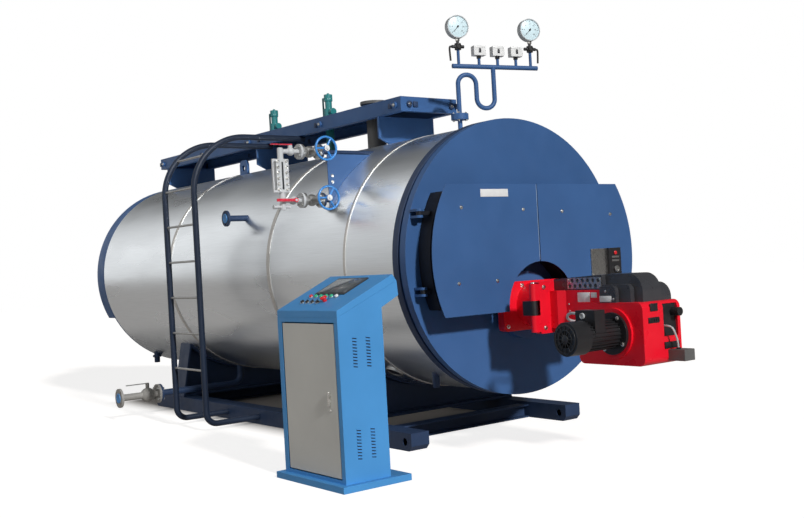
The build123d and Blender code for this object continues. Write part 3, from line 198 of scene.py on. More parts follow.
def socket(mat, name):
    """An input of the material's Principled shader."""
    return mat.node_tree.nodes["Principled BSDF"].inputs[name]


def dress(mat, **inputs):
    """Feeds inputs of the material's Principled shader."""
    for name, source in inputs.items():
        feed(mat.node_tree, socket(mat, name.replace("_", " ")), source)


def shader(name, colour, roughness, metallic=0.0):
    """A new material with one Principled shader."""
    mat = bpy.data.materials.new(name)
    mat.use_nodes = True
    dress(mat, Base_Color=(*colour, 1.0), Roughness=roughness, Metallic=metallic)
    return mat


def grain(mat, scale, stretch=(1.0, 1.0, 1.0), detail=3.0):
    """Noise on object coordinates, stretched along the axes."""
    tree = mat.node_tree
    place = node(tree, "TexCoord").outputs["Object"]
    place = node(tree, "Mapping", Vector=place, Scale=stretch).outputs["Vector"]
    return node(tree, "TexNoise", Vector=place, Scale=scale, Detail=detail).outputs["Fac"]


def ramp(tree, fac, *stops):
    """Runs over stops, each of a position and a colour, with a pattern."""
    made = node(tree, "ValToRGB", Fac=fac)
    elements = made.color_ramp.elements
    for index, (position, colour) in enumerate(stops):
        stop = elements[index] if index < 2 else elements.new(position)
        stop.position = position
        stop.color = (*colour, 1.0)
    return made.outputs["Color"]


def tint(mat, fac, dark, light, low=0.35, high=0.65):
    """Runs the base colour between two shades over a pattern."""
    dress(mat, Base_Color=ramp(mat.node_tree, fac, (low, dark), (high, light)))


def gloss(mat, fac, low, high):
    """Runs the roughness between two values over the middle of a pattern."""
    span = node(mat.node_tree, "MapRange", Value=fac, From_Min=0.3, From_Max=0.7,
                To_Min=low, To_Max=high)
    dress(mat, Roughness=span.outputs["Result"])


def relief(mat, fac, depth, strength):
    """Adds a bump of a depth in metres over the bumps already there."""
    bump = node(mat.node_tree, "Bump", Height=fac, Distance=depth, Strength=strength)
    before = socket(mat, "Normal").links
    if before:
        feed(mat.node_tree, bump.inputs["Normal"], before[0].from_socket)
    dress(mat, Normal=bump.outputs["Normal"])


def shades(colour, spread):
    """A darker and a lighter shade of a colour."""
    dark = [channel * (1 - spread) for channel in colour]
    light = [min(1.0, channel * (1 + spread)) for channel in colour]
    return dark, light


def paint(name, colour, roughness=0.36, spread=0.10, peel=0.00006, sheen=0.5):
    """Sprayed paint with faint clouding, uneven gloss and orange peel."""
    mat = shader(name, colour, roughness)
    dress(mat, Specular_IOR_Level=sheen)
    tint(mat, grain(mat, scale=2.2, detail=5.0), *shades(colour, spread))
    gloss(mat, grain(mat, scale=9.0), roughness - 0.05, roughness + 0.08)
    relief(mat, grain(mat, scale=420.0, detail=1.0), depth=peel, strength=0.5)
    return mat


def moulding(name, colour, roughness=0.45, spread=0.12):
    """Moulded plastic with a fine grain."""
    mat = shader(name, colour, roughness)
    tint(mat, grain(mat, scale=30.0), *shades(colour, spread))
    gloss(mat, grain(mat, scale=60.0), roughness - 0.06, roughness + 0.06)
    relief(mat, grain(mat, scale=900.0, detail=1.0), depth=0.00005, strength=0.6)
    return mat


def bare_metal(name, colour, roughness=0.3, stretch=(1.0, 1.0, 1.0), spread=0.10):
    """Cast, turned or plated metal."""
    mat = shader(name, colour, roughness, metallic=1.0)
    tint(mat, grain(mat, 40.0, stretch), *shades(colour, spread))
    gloss(mat, grain(mat, 55.0, stretch), roughness - 0.08, roughness + 0.10)
    relief(mat, grain(mat, scale=500.0, detail=2.0), depth=0.00004, strength=0.5)
    return mat


def cladding_steel(name, colour):
    """Brushed stainless sheet, streaked along the drum, a little wavy and hand-marked."""
    mat = shader(name, colour, roughness=0.26, metallic=1.0)
    brush = grain(mat, scale=1.0, stretch=(4.0, 420.0, 420.0))
    tint(mat, brush, *shades(colour, 0.05), low=0.3, high=0.7)
    gloss(mat, grain(mat, scale=1.3, stretch=(0.6, 2.2, 2.2)), 0.24, 0.35)
    waves = grain(mat, scale=0.9, stretch=(0.6, 1.2, 1.2), detail=1.0)
    relief(mat, waves, depth=0.012, strength=0.20)
    relief(mat, brush, depth=0.00008, strength=0.15)
    return mat


def glowing(name, colour, strength=0.12, roughness=0.25):
    """A lamp lens with a little light of its own."""
    mat = moulding(name, colour, roughness)
    dress(mat, Emission_Color=(*colour, 1.0), Emission_Strength=strength)
    return mat


MATERIALS = {}


def make_materials():
    """Every finish of the boiler, once."""
    f = finishes()
    MATERIALS.update(
        blue=paint("boiler_blue_paint", f.blue, 0.44, 0.07, sheen=0.30),
        ladder=paint("ladder_paint", (0.011, 0.020, 0.042), 0.42, 0.15, sheen=0.30),
        # Painted shade: near-black on the inner door slabs, standing in for the shade in the gap
        # between the front plate and the covers.
        lining=paint("door_lining_black", (0.010, 0.012, 0.018), 0.55, 0.2, sheen=0.25),
        # Painted shade: the boiler blue darkened for the shade on the skid, pipes, lugs and front
        # flange.
        navy=paint("shaded_blue_paint", f.navy, 0.46, 0.12, sheen=0.28),
        # Painted highlight: a pale blue that stands in for the lit edge along the seam between the
        # doors.
        lit_edge=paint("seam_highlight_paint", (0.34, 0.46, 0.66), 0.40, 0.10),
        red=paint("burner_red_paint", f.red, 0.30, 0.06, sheen=0.35),
        lever_red=moulding("lever_red_sleeve", (0.62, 0.02, 0.05), 0.4),
        black=moulding("black_moulding", f.black, 0.42),
        hood=paint("hood_black", (0.040, 0.041, 0.047), 0.28, 0.12, sheen=0.8),
        motor=paint("motor_black_paint", (0.017, 0.017, 0.019), 0.36, 0.2, sheen=0.45),
        teal=paint("valve_teal_enamel", f.teal, 0.35, 0.15),
        wheel=paint("wheel_blue_enamel", f.wheel, 0.30, 0.08),
        desk=paint("desk_blue_powder", f.desk, 0.46, 0.05, peel=0.00012, sheen=0.30),
        desk_grey=paint("desk_grey_powder", f.door, 0.50, 0.04, peel=0.00012, sheen=0.30),
        cap=moulding("flange_cap_blue", (0.07, 0.27, 0.60), 0.42),
        # The cladding's colour carries a painted reflection: a blue tint for the mirrored sky on
        # top of the stainless grey.
        steel=cladding_steel("stainless_with_sky_tint", f.steel),
        sheet=bare_metal("brushed_sheet", (0.46, 0.455, 0.44), 0.30, (1.0, 8.0, 1.0)),
        band=bare_metal("band_steel", (0.60, 0.585, 0.56), 0.50, (1.0, 6.0, 6.0), 0.06),
        cast=bare_metal("cast_steel", (0.40, 0.40, 0.39), 0.42),
        pale_cast=paint("aluminium_paint", (0.56, 0.575, 0.585), 0.38, 0.08),
        valve=paint("valve_grey_cast", (0.345, 0.335, 0.315), 0.40, 0.15),
        case=paint("gauge_case_grey", (0.52, 0.56, 0.58), 0.36, 0.06),
        nickel=bare_metal("nickel_bolts", (0.70, 0.69, 0.66), 0.26),
        white=moulding("white_moulding", f.white, 0.38, 0.03),
        dial=moulding("dial_white", (0.74, 0.93, 0.99), 0.34, 0.01),
        conduit=moulding("conduit_grey", (0.50, 0.52, 0.53), 0.40),
        ink=moulding("dial_ink", (0.012, 0.014, 0.020), 0.5),
        grey=paint("grey_housing", (0.115, 0.115, 0.112), 0.5),
        rubber=moulding("black_rubber", (0.010, 0.010, 0.010), 0.6),
        screen=moulding("screen_glass", (0.115, 0.130, 0.140), 0.12, 0.25),
        bezel=moulding("screen_bezel", (0.030, 0.032, 0.036), 0.4),
        lens_red=glowing("lens_red", (0.62, 0.015, 0.02)),
        lens_green=glowing("lens_green", (0.02, 0.42, 0.22)),
        shadow=moulding("vent_dark", (0.006, 0.010, 0.018), 0.8),
    )


# Modelling helpers

def deselect():
    """Leaves nothing selected, in object mode."""
    if bpy.context.object and bpy.context.object.mode != "OBJECT":
        bpy.ops.object.mode_set(mode="OBJECT")
    bpy.ops.object.select_all(action="DESELECT")


def take(*objects):
    """Selects the objects, the first as the active one."""
    deselect()
    for obj in objects:
        obj.select_set(True)
    bpy.context.view_layer.objects.active = objects[0]


def pick(test, kind="FACE"):
    """In edit mode, selects the faces, edges or vertices that pass a test."""
    bpy.ops.mesh.select_mode(type=kind)
    bpy.ops.mesh.select_all(action="DESELECT")
    mesh = bpy.context.object.data
    shape = bmesh.from_edit_mesh(mesh)
    for part in {"FACE": shape.faces, "EDGE": shape.edges, "VERT": shape.verts}[kind]:
        part.select = bool(test(part))
    shape.select_flush_mode()
    bmesh.update_edit_mesh(mesh)


def edit(obj):
    """Enters edit mode on one object."""
    take(obj)
    bpy.ops.object.mode_set(mode="EDIT")


def leave():
    """Back to object mode, with the normals set outwards."""
    bpy.ops.mesh.select_all(action="SELECT")
    bpy.ops.mesh.normals_make_consistent(inside=False)
    bpy.ops.object.mode_set(mode="OBJECT")


def sink(rim, depth):
    """In edit mode, insets the selected face and presses it in."""
    bpy.ops.mesh.inset(thickness=rim)
    bpy.ops.mesh.extrude_region_move(TRANSFORM_OT_translate={"value": (0, 0, -depth)})


def box(size, middle=(0, 0, 0), soft=0.002, steps=2):
    """A block of a size about a place, with rounded edges."""
    deselect()
    bpy.ops.mesh.primitive_cube_add(size=1, location=middle)
    obj = bpy.context.object
    obj.scale = size
    bpy.ops.object.transform_apply(location=False, rotation=False, scale=True)
    edit(obj)
    bpy.ops.mesh.select_all(action="SELECT")
    bpy.ops.mesh.bevel(offset=min(soft, min(size) * 0.45), segments=steps, affect="EDGES")
    leave()
    return obj


def block(low, high, soft=0.002, steps=2):
    """A block between two corners, with rounded edges."""
    low, high = Vector(low), Vector(high)
    return box(high - low, (low + high) / 2, soft, steps)


def slabs(corners):
    """Blocks ahead of the front plate, each from two corners and an edge radius, as one object."""
    return joined(*[block(at(*low), at(*high), soft) for low, high, soft in corners])


def disc(radius, height, sides=32, soft=0.001, steps=2):
    """An upright round slug standing on the origin, with its rims rounded."""
    deselect()
    bpy.ops.mesh.primitive_cylinder_add(vertices=sides, radius=radius, depth=height,
                                        location=(0, 0, height / 2))
    obj = bpy.context.object
    edit(obj)
    pick(lambda e: abs(e.verts[0].co.z - e.verts[1].co.z) < height * 0.1, "EDGE")
    bpy.ops.mesh.bevel(offset=min(soft, height * 0.4), segments=steps, affect="EDGES")
    leave()
    return obj


def dish(radius, height, rim, depth, sides=40):
    """A slug with a sunk face inside a raised rim."""
    obj = disc(radius, height, sides, rim * 0.3)
    edit(obj)
    pick(lambda f: f.normal.z > 0.99 and f.calc_area() > radius * radius)
    sink(rim, depth)
    leave()
    return obj


def joined(*objects):
    """Several shapes as one object."""
    take(*objects)
    if len(objects) > 1:
        bpy.ops.object.join()
    return bpy.context.object


def facing(spot, axis):
    """A place whose Z looks along an axis."""
    spin = UP.rotation_difference(Vector(axis).normalized()).to_matrix().to_4x4()
    return Matrix.Translation(spot) @ spin


def upright(spot):
    """A place that stands upright."""
    return Matrix.Translation(spot)


def ring_places(centre, axis, radius, count, start=HALF_QUARTER):
    """Places round a circle, all looking along its axis."""
    turns = [start + index * 2 * math.pi / count for index in range(count)]
    base = facing(centre, axis)
    return [base @ upright((radius * math.cos(turn), radius * math.sin(turn), 0)) for turn in turns]


def copies(shape, places):
    """The shape at each place, as one object; the shape itself goes."""
    made = []
    for place in places:
        copy = shape.copy()
        copy.data = shape.data.copy()
        bpy.context.collection.objects.link(copy)
        copy.matrix_world = place @ shape.matrix_world
        made.append(copy)
    bpy.data.objects.remove(shape)
    take(*made)
    bpy.ops.object.transform_apply(location=True, rotation=True, scale=True)
    return joined(*made)


def settle(obj, name, finish, body="boiler", angle=PIECE_SMOOTH):
    """Names a finished piece, applies its place and gives it finish and body."""
    take(obj)
    bpy.ops.object.transform_apply(location=True, rotation=True, scale=True)
    obj.name = name
    obj.data.name = name
    obj.data.materials.clear()
    obj.data.materials.append(MATERIALS[finish])
    bpy.ops.object.shade_smooth_by_angle(angle=math.radians(angle))
    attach(obj, body)
    return obj


def fit(shape, places, name, finish, body="boiler"):
    """Copies a shape to its places and settles the copies as one piece."""
    return settle(copies(shape, places), name, finish, body)


def skin(names, finish, edge=None):
    """Shows each named node's own shape in its stead, with rounded edges and a finish."""
    for name in names.split():
        skin_one(name, finish, fittings().edge if edge is None else edge)


def skin_one(name, finish, width):
    """A copy of a node's shape with merged faces, rounded edges and a finish."""
    source = frame["nodes"][name]
    obj = source.copy()
    obj.data = source.data.copy()
    obj.parent = None
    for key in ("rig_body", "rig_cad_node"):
        if key in obj:
            del obj[key]
    bpy.context.collection.objects.link(obj)
    edit(obj)
    bpy.ops.mesh.customdata_custom_splitnormals_clear()
    bpy.ops.mesh.select_all(action="SELECT")
    bpy.ops.mesh.remove_doubles(threshold=MERGE_DISTANCE)
    bpy.ops.mesh.dissolve_limited(angle_limit=FLAT_ANGLE)
    bpy.ops.object.mode_set(mode="OBJECT")
    if width:
        round_off = obj.modifiers.new("edges", "BEVEL")
        round_off.width = width
        round_off.segments = 2
        round_off.limit_method = "ANGLE"
        round_off.angle_limit = SHARP_ANGLE
        round_off.harden_normals = False
        bpy.ops.object.modifier_apply(modifier=round_off.name)
    settle(obj, name + "_finish", finish, BODY_OF[name], SKIN_SMOOTH)
    even = obj.modifiers.new("flat faces", "WEIGHTED_NORMAL")
    even.keep_sharp = True
    bpy.ops.object.modifier_apply(modifier=even.name)
    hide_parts(name)


def hex_bolt(size):
    """Hexagon head on a washer, standing on the origin."""
    head = disc(size, size * 0.9, sides=6, soft=size * 0.12)
    washer = disc(size * 1.35, size * 0.22, sides=20, soft=size * 0.06)
    return joined(head, washer)


def stud_nut(size):
    """Hexagon nut on a washer with the stud's end through it."""
    stud = disc(size * 0.55, size * 1.35, sides=14, soft=size * 0.1)
    return joined(hex_bolt(size), stud)


def screw(size):
    """Round screw head with its middle pressed in."""
    head = disc(size, size * 0.55, sides=18, soft=size * 0.22, steps=3)
    edit(head)
    pick(lambda f: f.normal.z > 0.99)
    sink(size * 0.35, size * 0.2)
    leave()
    return head


def tube(points, radius):
    """A bent rigid pipe along five or more control points, closed at its ends."""
    deselect()
    bpy.ops.curve.primitive_nurbs_path_add()
    obj = bpy.context.object
    line = obj.data.splines[0]
    line.points.add(len(points) - len(line.points))
    for point, place in zip(line.points, points):
        point.co = (*place, 1.0)
    line.order_u = 3
    line.use_endpoint_u = True
    line.resolution_u = 6
    obj.data.bevel_depth = radius
    obj.data.bevel_resolution = 2
    obj.data.use_fill_caps = True
    bpy.ops.object.convert(target="MESH")
    edit(bpy.context.object)
    leave()
    return bpy.context.object


def figure(text, size, place):
    """A number as thin raised print at a place."""
    deselect()
    bpy.ops.object.text_add()
    obj = bpy.context.object
    obj.data.body = text
    obj.data.size = size
    obj.data.align_x = "CENTER"
    obj.data.align_y = "CENTER"
    obj.data.extrude = 0.0002
    obj.data.resolution_u = 3
    bpy.ops.object.convert(target="MESH")
    return copies(bpy.context.object, [place])


def at(ahead, across, height):
    """A place measured ahead of the front plate."""
    return Vector((FRONT + ahead, across, height))


# Drum: places ahead of the front plate and across
HAND_HOLE, HAND_HOLE_SINK, HAND_HOLE_OVAL = (-0.853, -0.510), 0.006, 0.75
DRAIN = (-5.366, -0.464)


class BOILER_OT_drum(bpy.types.Operator):
    """Clad drum with its bands, flange, plates, rear cover and hand hole"""

    bl_idname = "boiler.drum"
    bl_label = "Dress drum"

    def execute(self, context):
        skin("shell", "steel", 0.0)
        skin("cladding_bands", "band", 0.0)
        skin("front_flange", "navy", 0.004)
        skin("front_plate rear_plate", "blue", 0.004)
        skin("rear_cover", "blue", 0.003)
        self.hand_hole()
        self.underside()
        return {"FINISHED"}

    def hand_hole(self):
        spot = at(*HAND_HOLE, 0.0)
        spot.z = AXIS_Z - math.sqrt(DRUM_R ** 2 - spot.y ** 2)
        place = facing(spot, (0, spot.y, spot.z - AXIS_Z)) @ upright((0, 0, -HAND_HOLE_SINK))
        oval = Matrix.Diagonal((1.0, HAND_HOLE_OVAL, 1.0, 1.0))
        fit(dish(0.082, 0.022, 0.013, 0.012), [place @ oval], "hand_hole_rim", "cast")
        fit(dish(0.068, 0.014, 0.016, 0.003), [place @ oval], "hand_hole_lid", "shadow")

    def underside(self):
        lug = block(at(-0.365, -0.535, 0.395), at(-0.335, -0.490, 0.505), 0.006)
        settle(lug, "front_lug", "navy")
        stub = copies(disc(0.028, 0.130, 28, 0.003), [upright(at(*DRAIN, 0.360))])
        collar = copies(disc(0.042, 0.022, 28, 0.003), [upright(at(*DRAIN, 0.415))])
        settle(joined(stub, collar), "drain_stub", "navy")


# Doors: studs across from the middle and up
DOOR_STUDS = {"left": ((0.650, 1.590), (0.132, 1.570), (0.700, 1.108), (0.385, 1.108)),
              "right": ((0.688, 1.524), (0.221, 1.553), (0.700, 1.070), (0.385, 1.070))}
PLATE_LOW, PLATE_HIGH, PLATE_T = (-0.489, 1.656), (-0.257, 1.706), 0.003
SEAM_LOW, SEAM_HIGH = 1.230, 1.737
SCREW_INSET = 0.012


class BOILER_OT_doors(bpy.types.Operator):
    """Front doors with covers, nuts, hinges, bare plate and instruments"""

    bl_idname = "boiler.doors"
    bl_label = "Dress doors"

    def execute(self, context):
        for side in ("left", "right"):
            # The inner door slab takes the near-black painted shade.
            skin("door_" + side, "lining")
            skin("door_cover_" + side, "blue", 0.0015)
        skin("hinge_lugs", "blue")
        skin("instrument_plate", "sheet", 0.001)
        skin("door_controller", "black", 0.002)
        self.nuts()
        self.plates()
        self.controls()
        return {"FINISHED"}

    def nuts(self):
        for name, side in (("left", -1), ("right", 1)):
            places = [facing((COVER_X, side * y, z), AHEAD) for y, z in DOOR_STUDS[name]]
            fit(stud_nut(fittings().nut), places, "door_nuts_" + name, "nickel", name + "_door")

    def plates(self):
        plate = block((COVER_X, *PLATE_LOW), (COVER_X + PLATE_T, *PLATE_HIGH), 0.001)
        settle(plate, "bare_plate", "white", "left_door")
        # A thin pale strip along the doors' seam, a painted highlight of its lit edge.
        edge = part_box("door_cover_left")[1].y
        strip = block((COVER_X - 0.001, edge - 0.003, SEAM_LOW),
                      (COVER_X + 0.001, edge + 0.0003, SEAM_HIGH), 0.0006)
        settle(strip, "seam_highlight_strip", "lit_edge", "left_door")

    def controls(self):
        low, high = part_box("door_controller")
        y = (low.y + high.y) / 2
        fit(disc(0.014, 0.010, 24, 0.004, 3), [facing((high.x, y, high.z - 0.036), AHEAD)],
            "controller_lamp", "lens_red", "right_door")
        bars = [block((high.x, y - 0.036, z), (high.x + 0.004, y + 0.036, z + 0.014))
                for z in (low.z + 0.094, low.z + 0.120)]
        settle(joined(*bars), "controller_bars", "grey", "right_door")
        fit(dish(0.022, 0.018, 0.004, 0.004), [facing((high.x, y, low.z + 0.042), AHEAD)],
            "controller_knob", "cast", "right_door")
        plate_low, plate_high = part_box("instrument_plate")
        spots = [(plate_low.y + SCREW_INSET, z)
                 for z in (plate_low.z + SCREW_INSET, plate_high.z - SCREW_INSET)]
        fit(screw(fittings().screw), [facing((plate_high.x, *spot), AHEAD) for spot in spots],
            "instrument_screws", "nickel", "right_door")


# Burner: places ahead of the front plate, across and up
MOUTH_AHEAD = 0.120
MOUTH_BOLTS = ((-0.235, 0.795), (0.235, 0.795), (-0.235, 1.056), (0.235, 1.056),
               (-0.095, 1.062), (0.095, 1.062))
SWING_AHEAD = 0.523
SWING_BOLTS = ((-0.262, 0.796), (0.262, 0.796), (-0.262, 1.054), (0.262, 1.054), (0.262, 0.925))
HINGE_TOP = (0.498, -0.330, 1.078)
LATCH_PLATES = (((1.306, -0.137, 0.893), (1.314, -0.073, 0.940), 0.003),
                ((1.306, -0.156, 0.823), (1.312, -0.061, 0.857), 0.002),
                ((1.306, -0.027, 0.664), (1.318, 0.101, 0.702), 0.003))
LATCH_RIB_STEPS = (0.0, 0.020, 0.040, 0.060, 0.080)
LATCH_RIBS = tuple(((1.310, -0.150 + step, 0.830), (1.316, -0.144 + step, 0.850), 0.001)
                   for step in LATCH_RIB_STEPS)
PANEL_SINK = 0.030
PANEL_CLIPS = ((-0.008, 0.878), (-0.006, 0.840))
PANEL_LAMP = (0.010, 0.843)
NECK_LEFT = -0.178
POD_LEFT = -0.200
SIDE_PLATES = (((0.960, POD_LEFT - 0.002, 0.955), (1.058, POD_LEFT + 0.001, 0.991), 0.0008),
               ((0.744, NECK_LEFT - 0.002, 0.953), (0.853, NECK_LEFT + 0.001, 1.013), 0.0008),
               ((0.862, NECK_LEFT - 0.002, 0.980), (0.914, NECK_LEFT + 0.001, 1.012), 0.0008))
SIDE_SCREWS = ((0.660, NECK_LEFT, 0.941), (0.666, NECK_LEFT, 0.897),
               (1.012, POD_LEFT, 1.019), (1.076, POD_LEFT, 0.970))
GRILLE_SCREW_INSET = 0.010
MOTOR_AXIS = (1.070, 0.0, 0.766)
MOTOR_FLANGE_Y = -0.232
MOTOR_BOLT_RING = 0.110
MOTOR_BOLT_TURN = math.radians(57)
COWL_VANES = 12
TERMINAL_GLAND = (1.053, -0.440, 0.889)
MOTOR_CONDUIT = ((0.992, -0.398, 0.895), (0.950, -0.398, 0.900), (0.900, -0.392, 0.902),
                 (0.848, -0.372, 0.890), (0.800, -0.330, 0.860), (0.782, -0.265, 0.838),
                 (0.782, -0.196, 0.835))
DRIVE_CONDUIT = ((1.280, -0.012, 0.800), (1.330, -0.012, 0.800), (1.362, -0.006, 0.788),
                 (1.366, 0.014, 0.740), (1.366, 0.028, 0.700), (1.366, 0.032, 0.654))
DRIVE_GLAND = (1.366, 0.032, 0.656)


class BOILER_OT_burner(bpy.types.Operator):
    """Swing-out burner with hood, grille, motor and drive"""

    bl_idname = "boiler.burner"
    bl_label = "Dress burner"

    def execute(self, context):
        skin("furnace_plate", "blue")
        skin("burner_flange", "red", 0.003)
        skin("burner_body", "red", 0.004)
        skin("burner_hinge", "black")
        skin("burner_hood", "hood", 0.006)
        skin("burner_grille", "sheet", 0.0005)
        skin("burner_panel", "black")
        skin("burner_motor", "motor", 0.0015)
        skin("damper_drive", "grey", 0.003)
        self.bolts()
        self.front()
        self.side()
        self.motor()
        self.conduits()
        return {"FINISHED"}

    def bolts(self):
        for name, body, ahead, spots in (("mouth_bolts", "boiler", MOUTH_AHEAD, MOUTH_BOLTS),
                                         ("swing_bolts", "burner", SWING_AHEAD, SWING_BOLTS)):
            places = [facing(at(ahead, *spot), AHEAD) for spot in spots]
            fit(hex_bolt(fittings().flange_bolt), places, name, "nickel", body)
        fit(disc(0.016, 0.012, 24, 0.005, 3), [upright(at(*HINGE_TOP))], "hinge_cap", "nickel")

    def front(self):
        settle(slabs(LATCH_PLATES + LATCH_RIBS), "burner_latch", "black", "burner")
        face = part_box("burner_body")[1].x - PANEL_SINK
        relays = [block((face, 0.018, 0.852), (face + 0.014, 0.062, 0.914)),
                  block((face, 0.016, 0.772), (face + 0.010, 0.092, 0.832))]
        settle(joined(*relays), "panel_relays", "rubber", "burner")
        fit(dish(0.008, 0.010, 0.002, 0.003, 20),
            [facing((face, *spot), AHEAD) for spot in PANEL_CLIPS],
            "panel_clips", "white", "burner")
        fit(disc(0.007, 0.010, 18, 0.003, 3), [facing((face, *PANEL_LAMP), AHEAD)],
            "panel_lamp", "lens_red", "burner")

    def side(self):
        settle(slabs(SIDE_PLATES), "burner_plates", "white", "burner")
        size = fittings().screw
        fit(screw(size * 1.2), [facing(at(*spot), NEAR) for spot in SIDE_SCREWS],
            "burner_screws", "nickel", "burner")
        low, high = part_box("burner_grille")
        corners = [(x, low.y, z)
                   for x in (low.x + GRILLE_SCREW_INSET, high.x - GRILLE_SCREW_INSET)
                   for z in (low.z + GRILLE_SCREW_INSET, high.z - GRILLE_SCREW_INSET)]
        fit(screw(size), [facing(corner, NEAR) for corner in corners],
            "grille_screws", "nickel", "burner")

    def motor(self):
        axis = at(*MOTOR_AXIS)
        face = axis + Vector((0, MOTOR_FLANGE_Y, 0))
        places = ring_places(face, NEAR, MOTOR_BOLT_RING, 4, MOTOR_BOLT_TURN)
        fit(hex_bolt(0.011), places, "motor_bolts", "nickel", "burner")
        end = facing(axis + Vector((0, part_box("burner_motor")[0].y, 0)), NEAR)
        rim = copies(dish(0.086, 0.006, 0.006, 0.005), [end])
        ring = copies(dish(0.056, 0.006, 0.004, 0.005), [end])
        hub = copies(disc(0.026, 0.007, 24, 0.003), [end])
        vane = block((0.022, -0.0022, 0.0005), (0.081, 0.0022, 0.006), soft=0.0008)
        turns = [index * 2 * math.pi / COWL_VANES for index in range(COWL_VANES)]
        vanes = copies(vane, [end @ Matrix.Rotation(turn, 4, "Z") for turn in turns])
        settle(joined(rim, ring, hub, vanes), "cowl_guard", "motor", "burner")
        fit(dish(0.018, 0.012, 0.004, 0.006), [facing(at(*TERMINAL_GLAND), NEAR)], "terminal_gland",
            "conduit", "burner")

    def conduits(self):
        for name, spots, radius in (("motor_conduit", MOTOR_CONDUIT, 0.0085),
                                    ("drive_conduit", DRIVE_CONDUIT, 0.0065)):
            pipe = tube([at(*spot) for spot in spots], radius)
            settle(pipe, name, "conduit", "burner", angle=TUBE_SMOOTH)
        fit(disc(0.012, 0.012, 6), [upright(at(*DRIVE_GLAND))], "drive_gland", "black", "burner")


# Platform: sockets as shares of the frame's length, and across and up at its front end
SOCKET_SHARES = (0.0163, 0.2604, 0.4872, 0.5448, 0.7599, 0.9821)
SOCKET_BOLT = 0.009
END_SOCKETS = ((-0.185, 2.440), (0.205, 2.440))
VALVE_BACKS = (2.418, 3.400)
VALVE_HOOD_DROP = Vector((0, 0, 0.058))


class BOILER_OT_platform(bpy.types.Operator):
    """Platform with its frame, supports, lugs, valves and steam outlet"""

    bl_idname = "boiler.platform"
    bl_label = "Dress platform"

    def execute(self, context):
        skin("platform_frame platform_deck platform_supports lifting_lugs", "blue")
        skin("steam_outlet", "grey")
        skin("safety_valves", "teal")
        self.side_sockets()
        self.end_sockets()
        self.valve_hoods()
        return {"FINISHED"}

    def side_sockets(self):
        low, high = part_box("platform_frame")
        z = (low.z + high.z) / 2
        backs = [high.x - share * (high.x - low.x) for share in SOCKET_SHARES]
        plugs, clips = [], []
        for face, way in ((low.y, NEAR), (high.y, -NEAR)):
            plugs += [facing(Vector((x, face, z)) - way * 0.018, way) for x in backs]
            clips += [(x, face - way.y * 0.017) for x in backs]
        shape = joined(disc(0.0127, 0.020, 24, 0.002),
                       copies(hex_bolt(SOCKET_BOLT), [upright((0, 0, 0.019))]))
        fit(shape, plugs, "socket_bolts", "cast")
        pads = [block((x - 0.082, y - 0.013, z - 0.020),
                      (x - 0.044, y + 0.013, z + 0.020), 0.003) for x, y in clips]
        settle(joined(*pads), "socket_clips", "navy")

    def end_sockets(self):
        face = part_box("platform_frame")[1].x
        cups = copies(dish(0.024, 0.016, 0.009, 0.008),
                      [facing((face, *spot), AHEAD) for spot in END_SOCKETS])
        pads = [block((face - 0.001, y + 0.036, z - 0.020),
                      (face + 0.012, y + 0.076, z + 0.020), 0.003) for y, z in END_SOCKETS]
        settle(joined(cups, *pads), "end_sockets", "navy")
        fit(hex_bolt(SOCKET_BOLT), [facing((face + 0.008, *spot), AHEAD) for spot in END_SOCKETS],
            "end_socket_bolts", "nickel")

    def valve_hoods(self):
        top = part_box("safety_valves")[1].z
        spots = [at(-back, 0, top - 0.002) for back in VALVE_BACKS]
        hoods = copies(disc(0.037, 0.030, 8, 0.004),
                       [upright(spot - VALVE_HOOD_DROP) for spot in spots])
        nuts = copies(joined(disc(0.013, 0.012, 6, 0.0015), disc(0.006, 0.016, 16, 0.002)),
                      [upright(spot) for spot in spots])
        settle(joined(hoods, nuts), "valve_hoods", "teal")


# Gauge stand: places along its manifold and up
STAND_BACK = 0.583
STAND_TURN = math.radians(75)
ALONG = Vector((math.cos(STAND_TURN), math.sin(STAND_TURN), 0))
OUT = Vector((math.sin(STAND_TURN), -math.cos(STAND_TURN), 0))
GAUGES = (("left", 0.015, -1), ("right", 0.602, 1))
GAUGE_Z = 2.958
GAUGE_NUT_DROP = 0.103
DIAL_OUT, DIAL_PRINT_OUT = 0.0195, 0.0216
DIAL_STEPS, DIAL_NUMBERED = 24, 4
DIAL_START, DIAL_SWEEP, NEEDLE_TURN = 225, 270, 228
STROKE_END, STROKE_T = 0.070, 0.0004
LONG_STROKE, SHORT_STROKE = (0.056, 0.0013), (0.062, 0.0007)
NUMBER_SIZE, NUMBER_SPOT = 0.016, Vector((0.044, 0, 0.0002))
COCK_Z = 2.815
COCK_LEVER = ((0.040, 0.0), (0.054, 0.0), (0.066, -0.004), (0.066, -0.040), (0.062, -0.104))
SWITCHES_ALONG = (0.178, 0.3285, 0.479)
SWITCH_Z = 2.752
SWITCH_FACE = 0.030
STAND_FLANGES = ((2.322, UP), (2.278, -UP))
STAND_BOLT_RING = 0.046


def on_stand(along, out, height):
    """A place on the stand: X runs along the manifold, Y is up and Z looks out of the dials."""
    turn = Matrix((ALONG, UP, OUT)).transposed().to_4x4()
    return upright(at(-STAND_BACK, 0, height) + along * ALONG + out * OUT) @ turn


def on_manifold(along, height):
    """An upright place over the manifold."""
    return upright(on_stand(along, 0, height).to_translation())


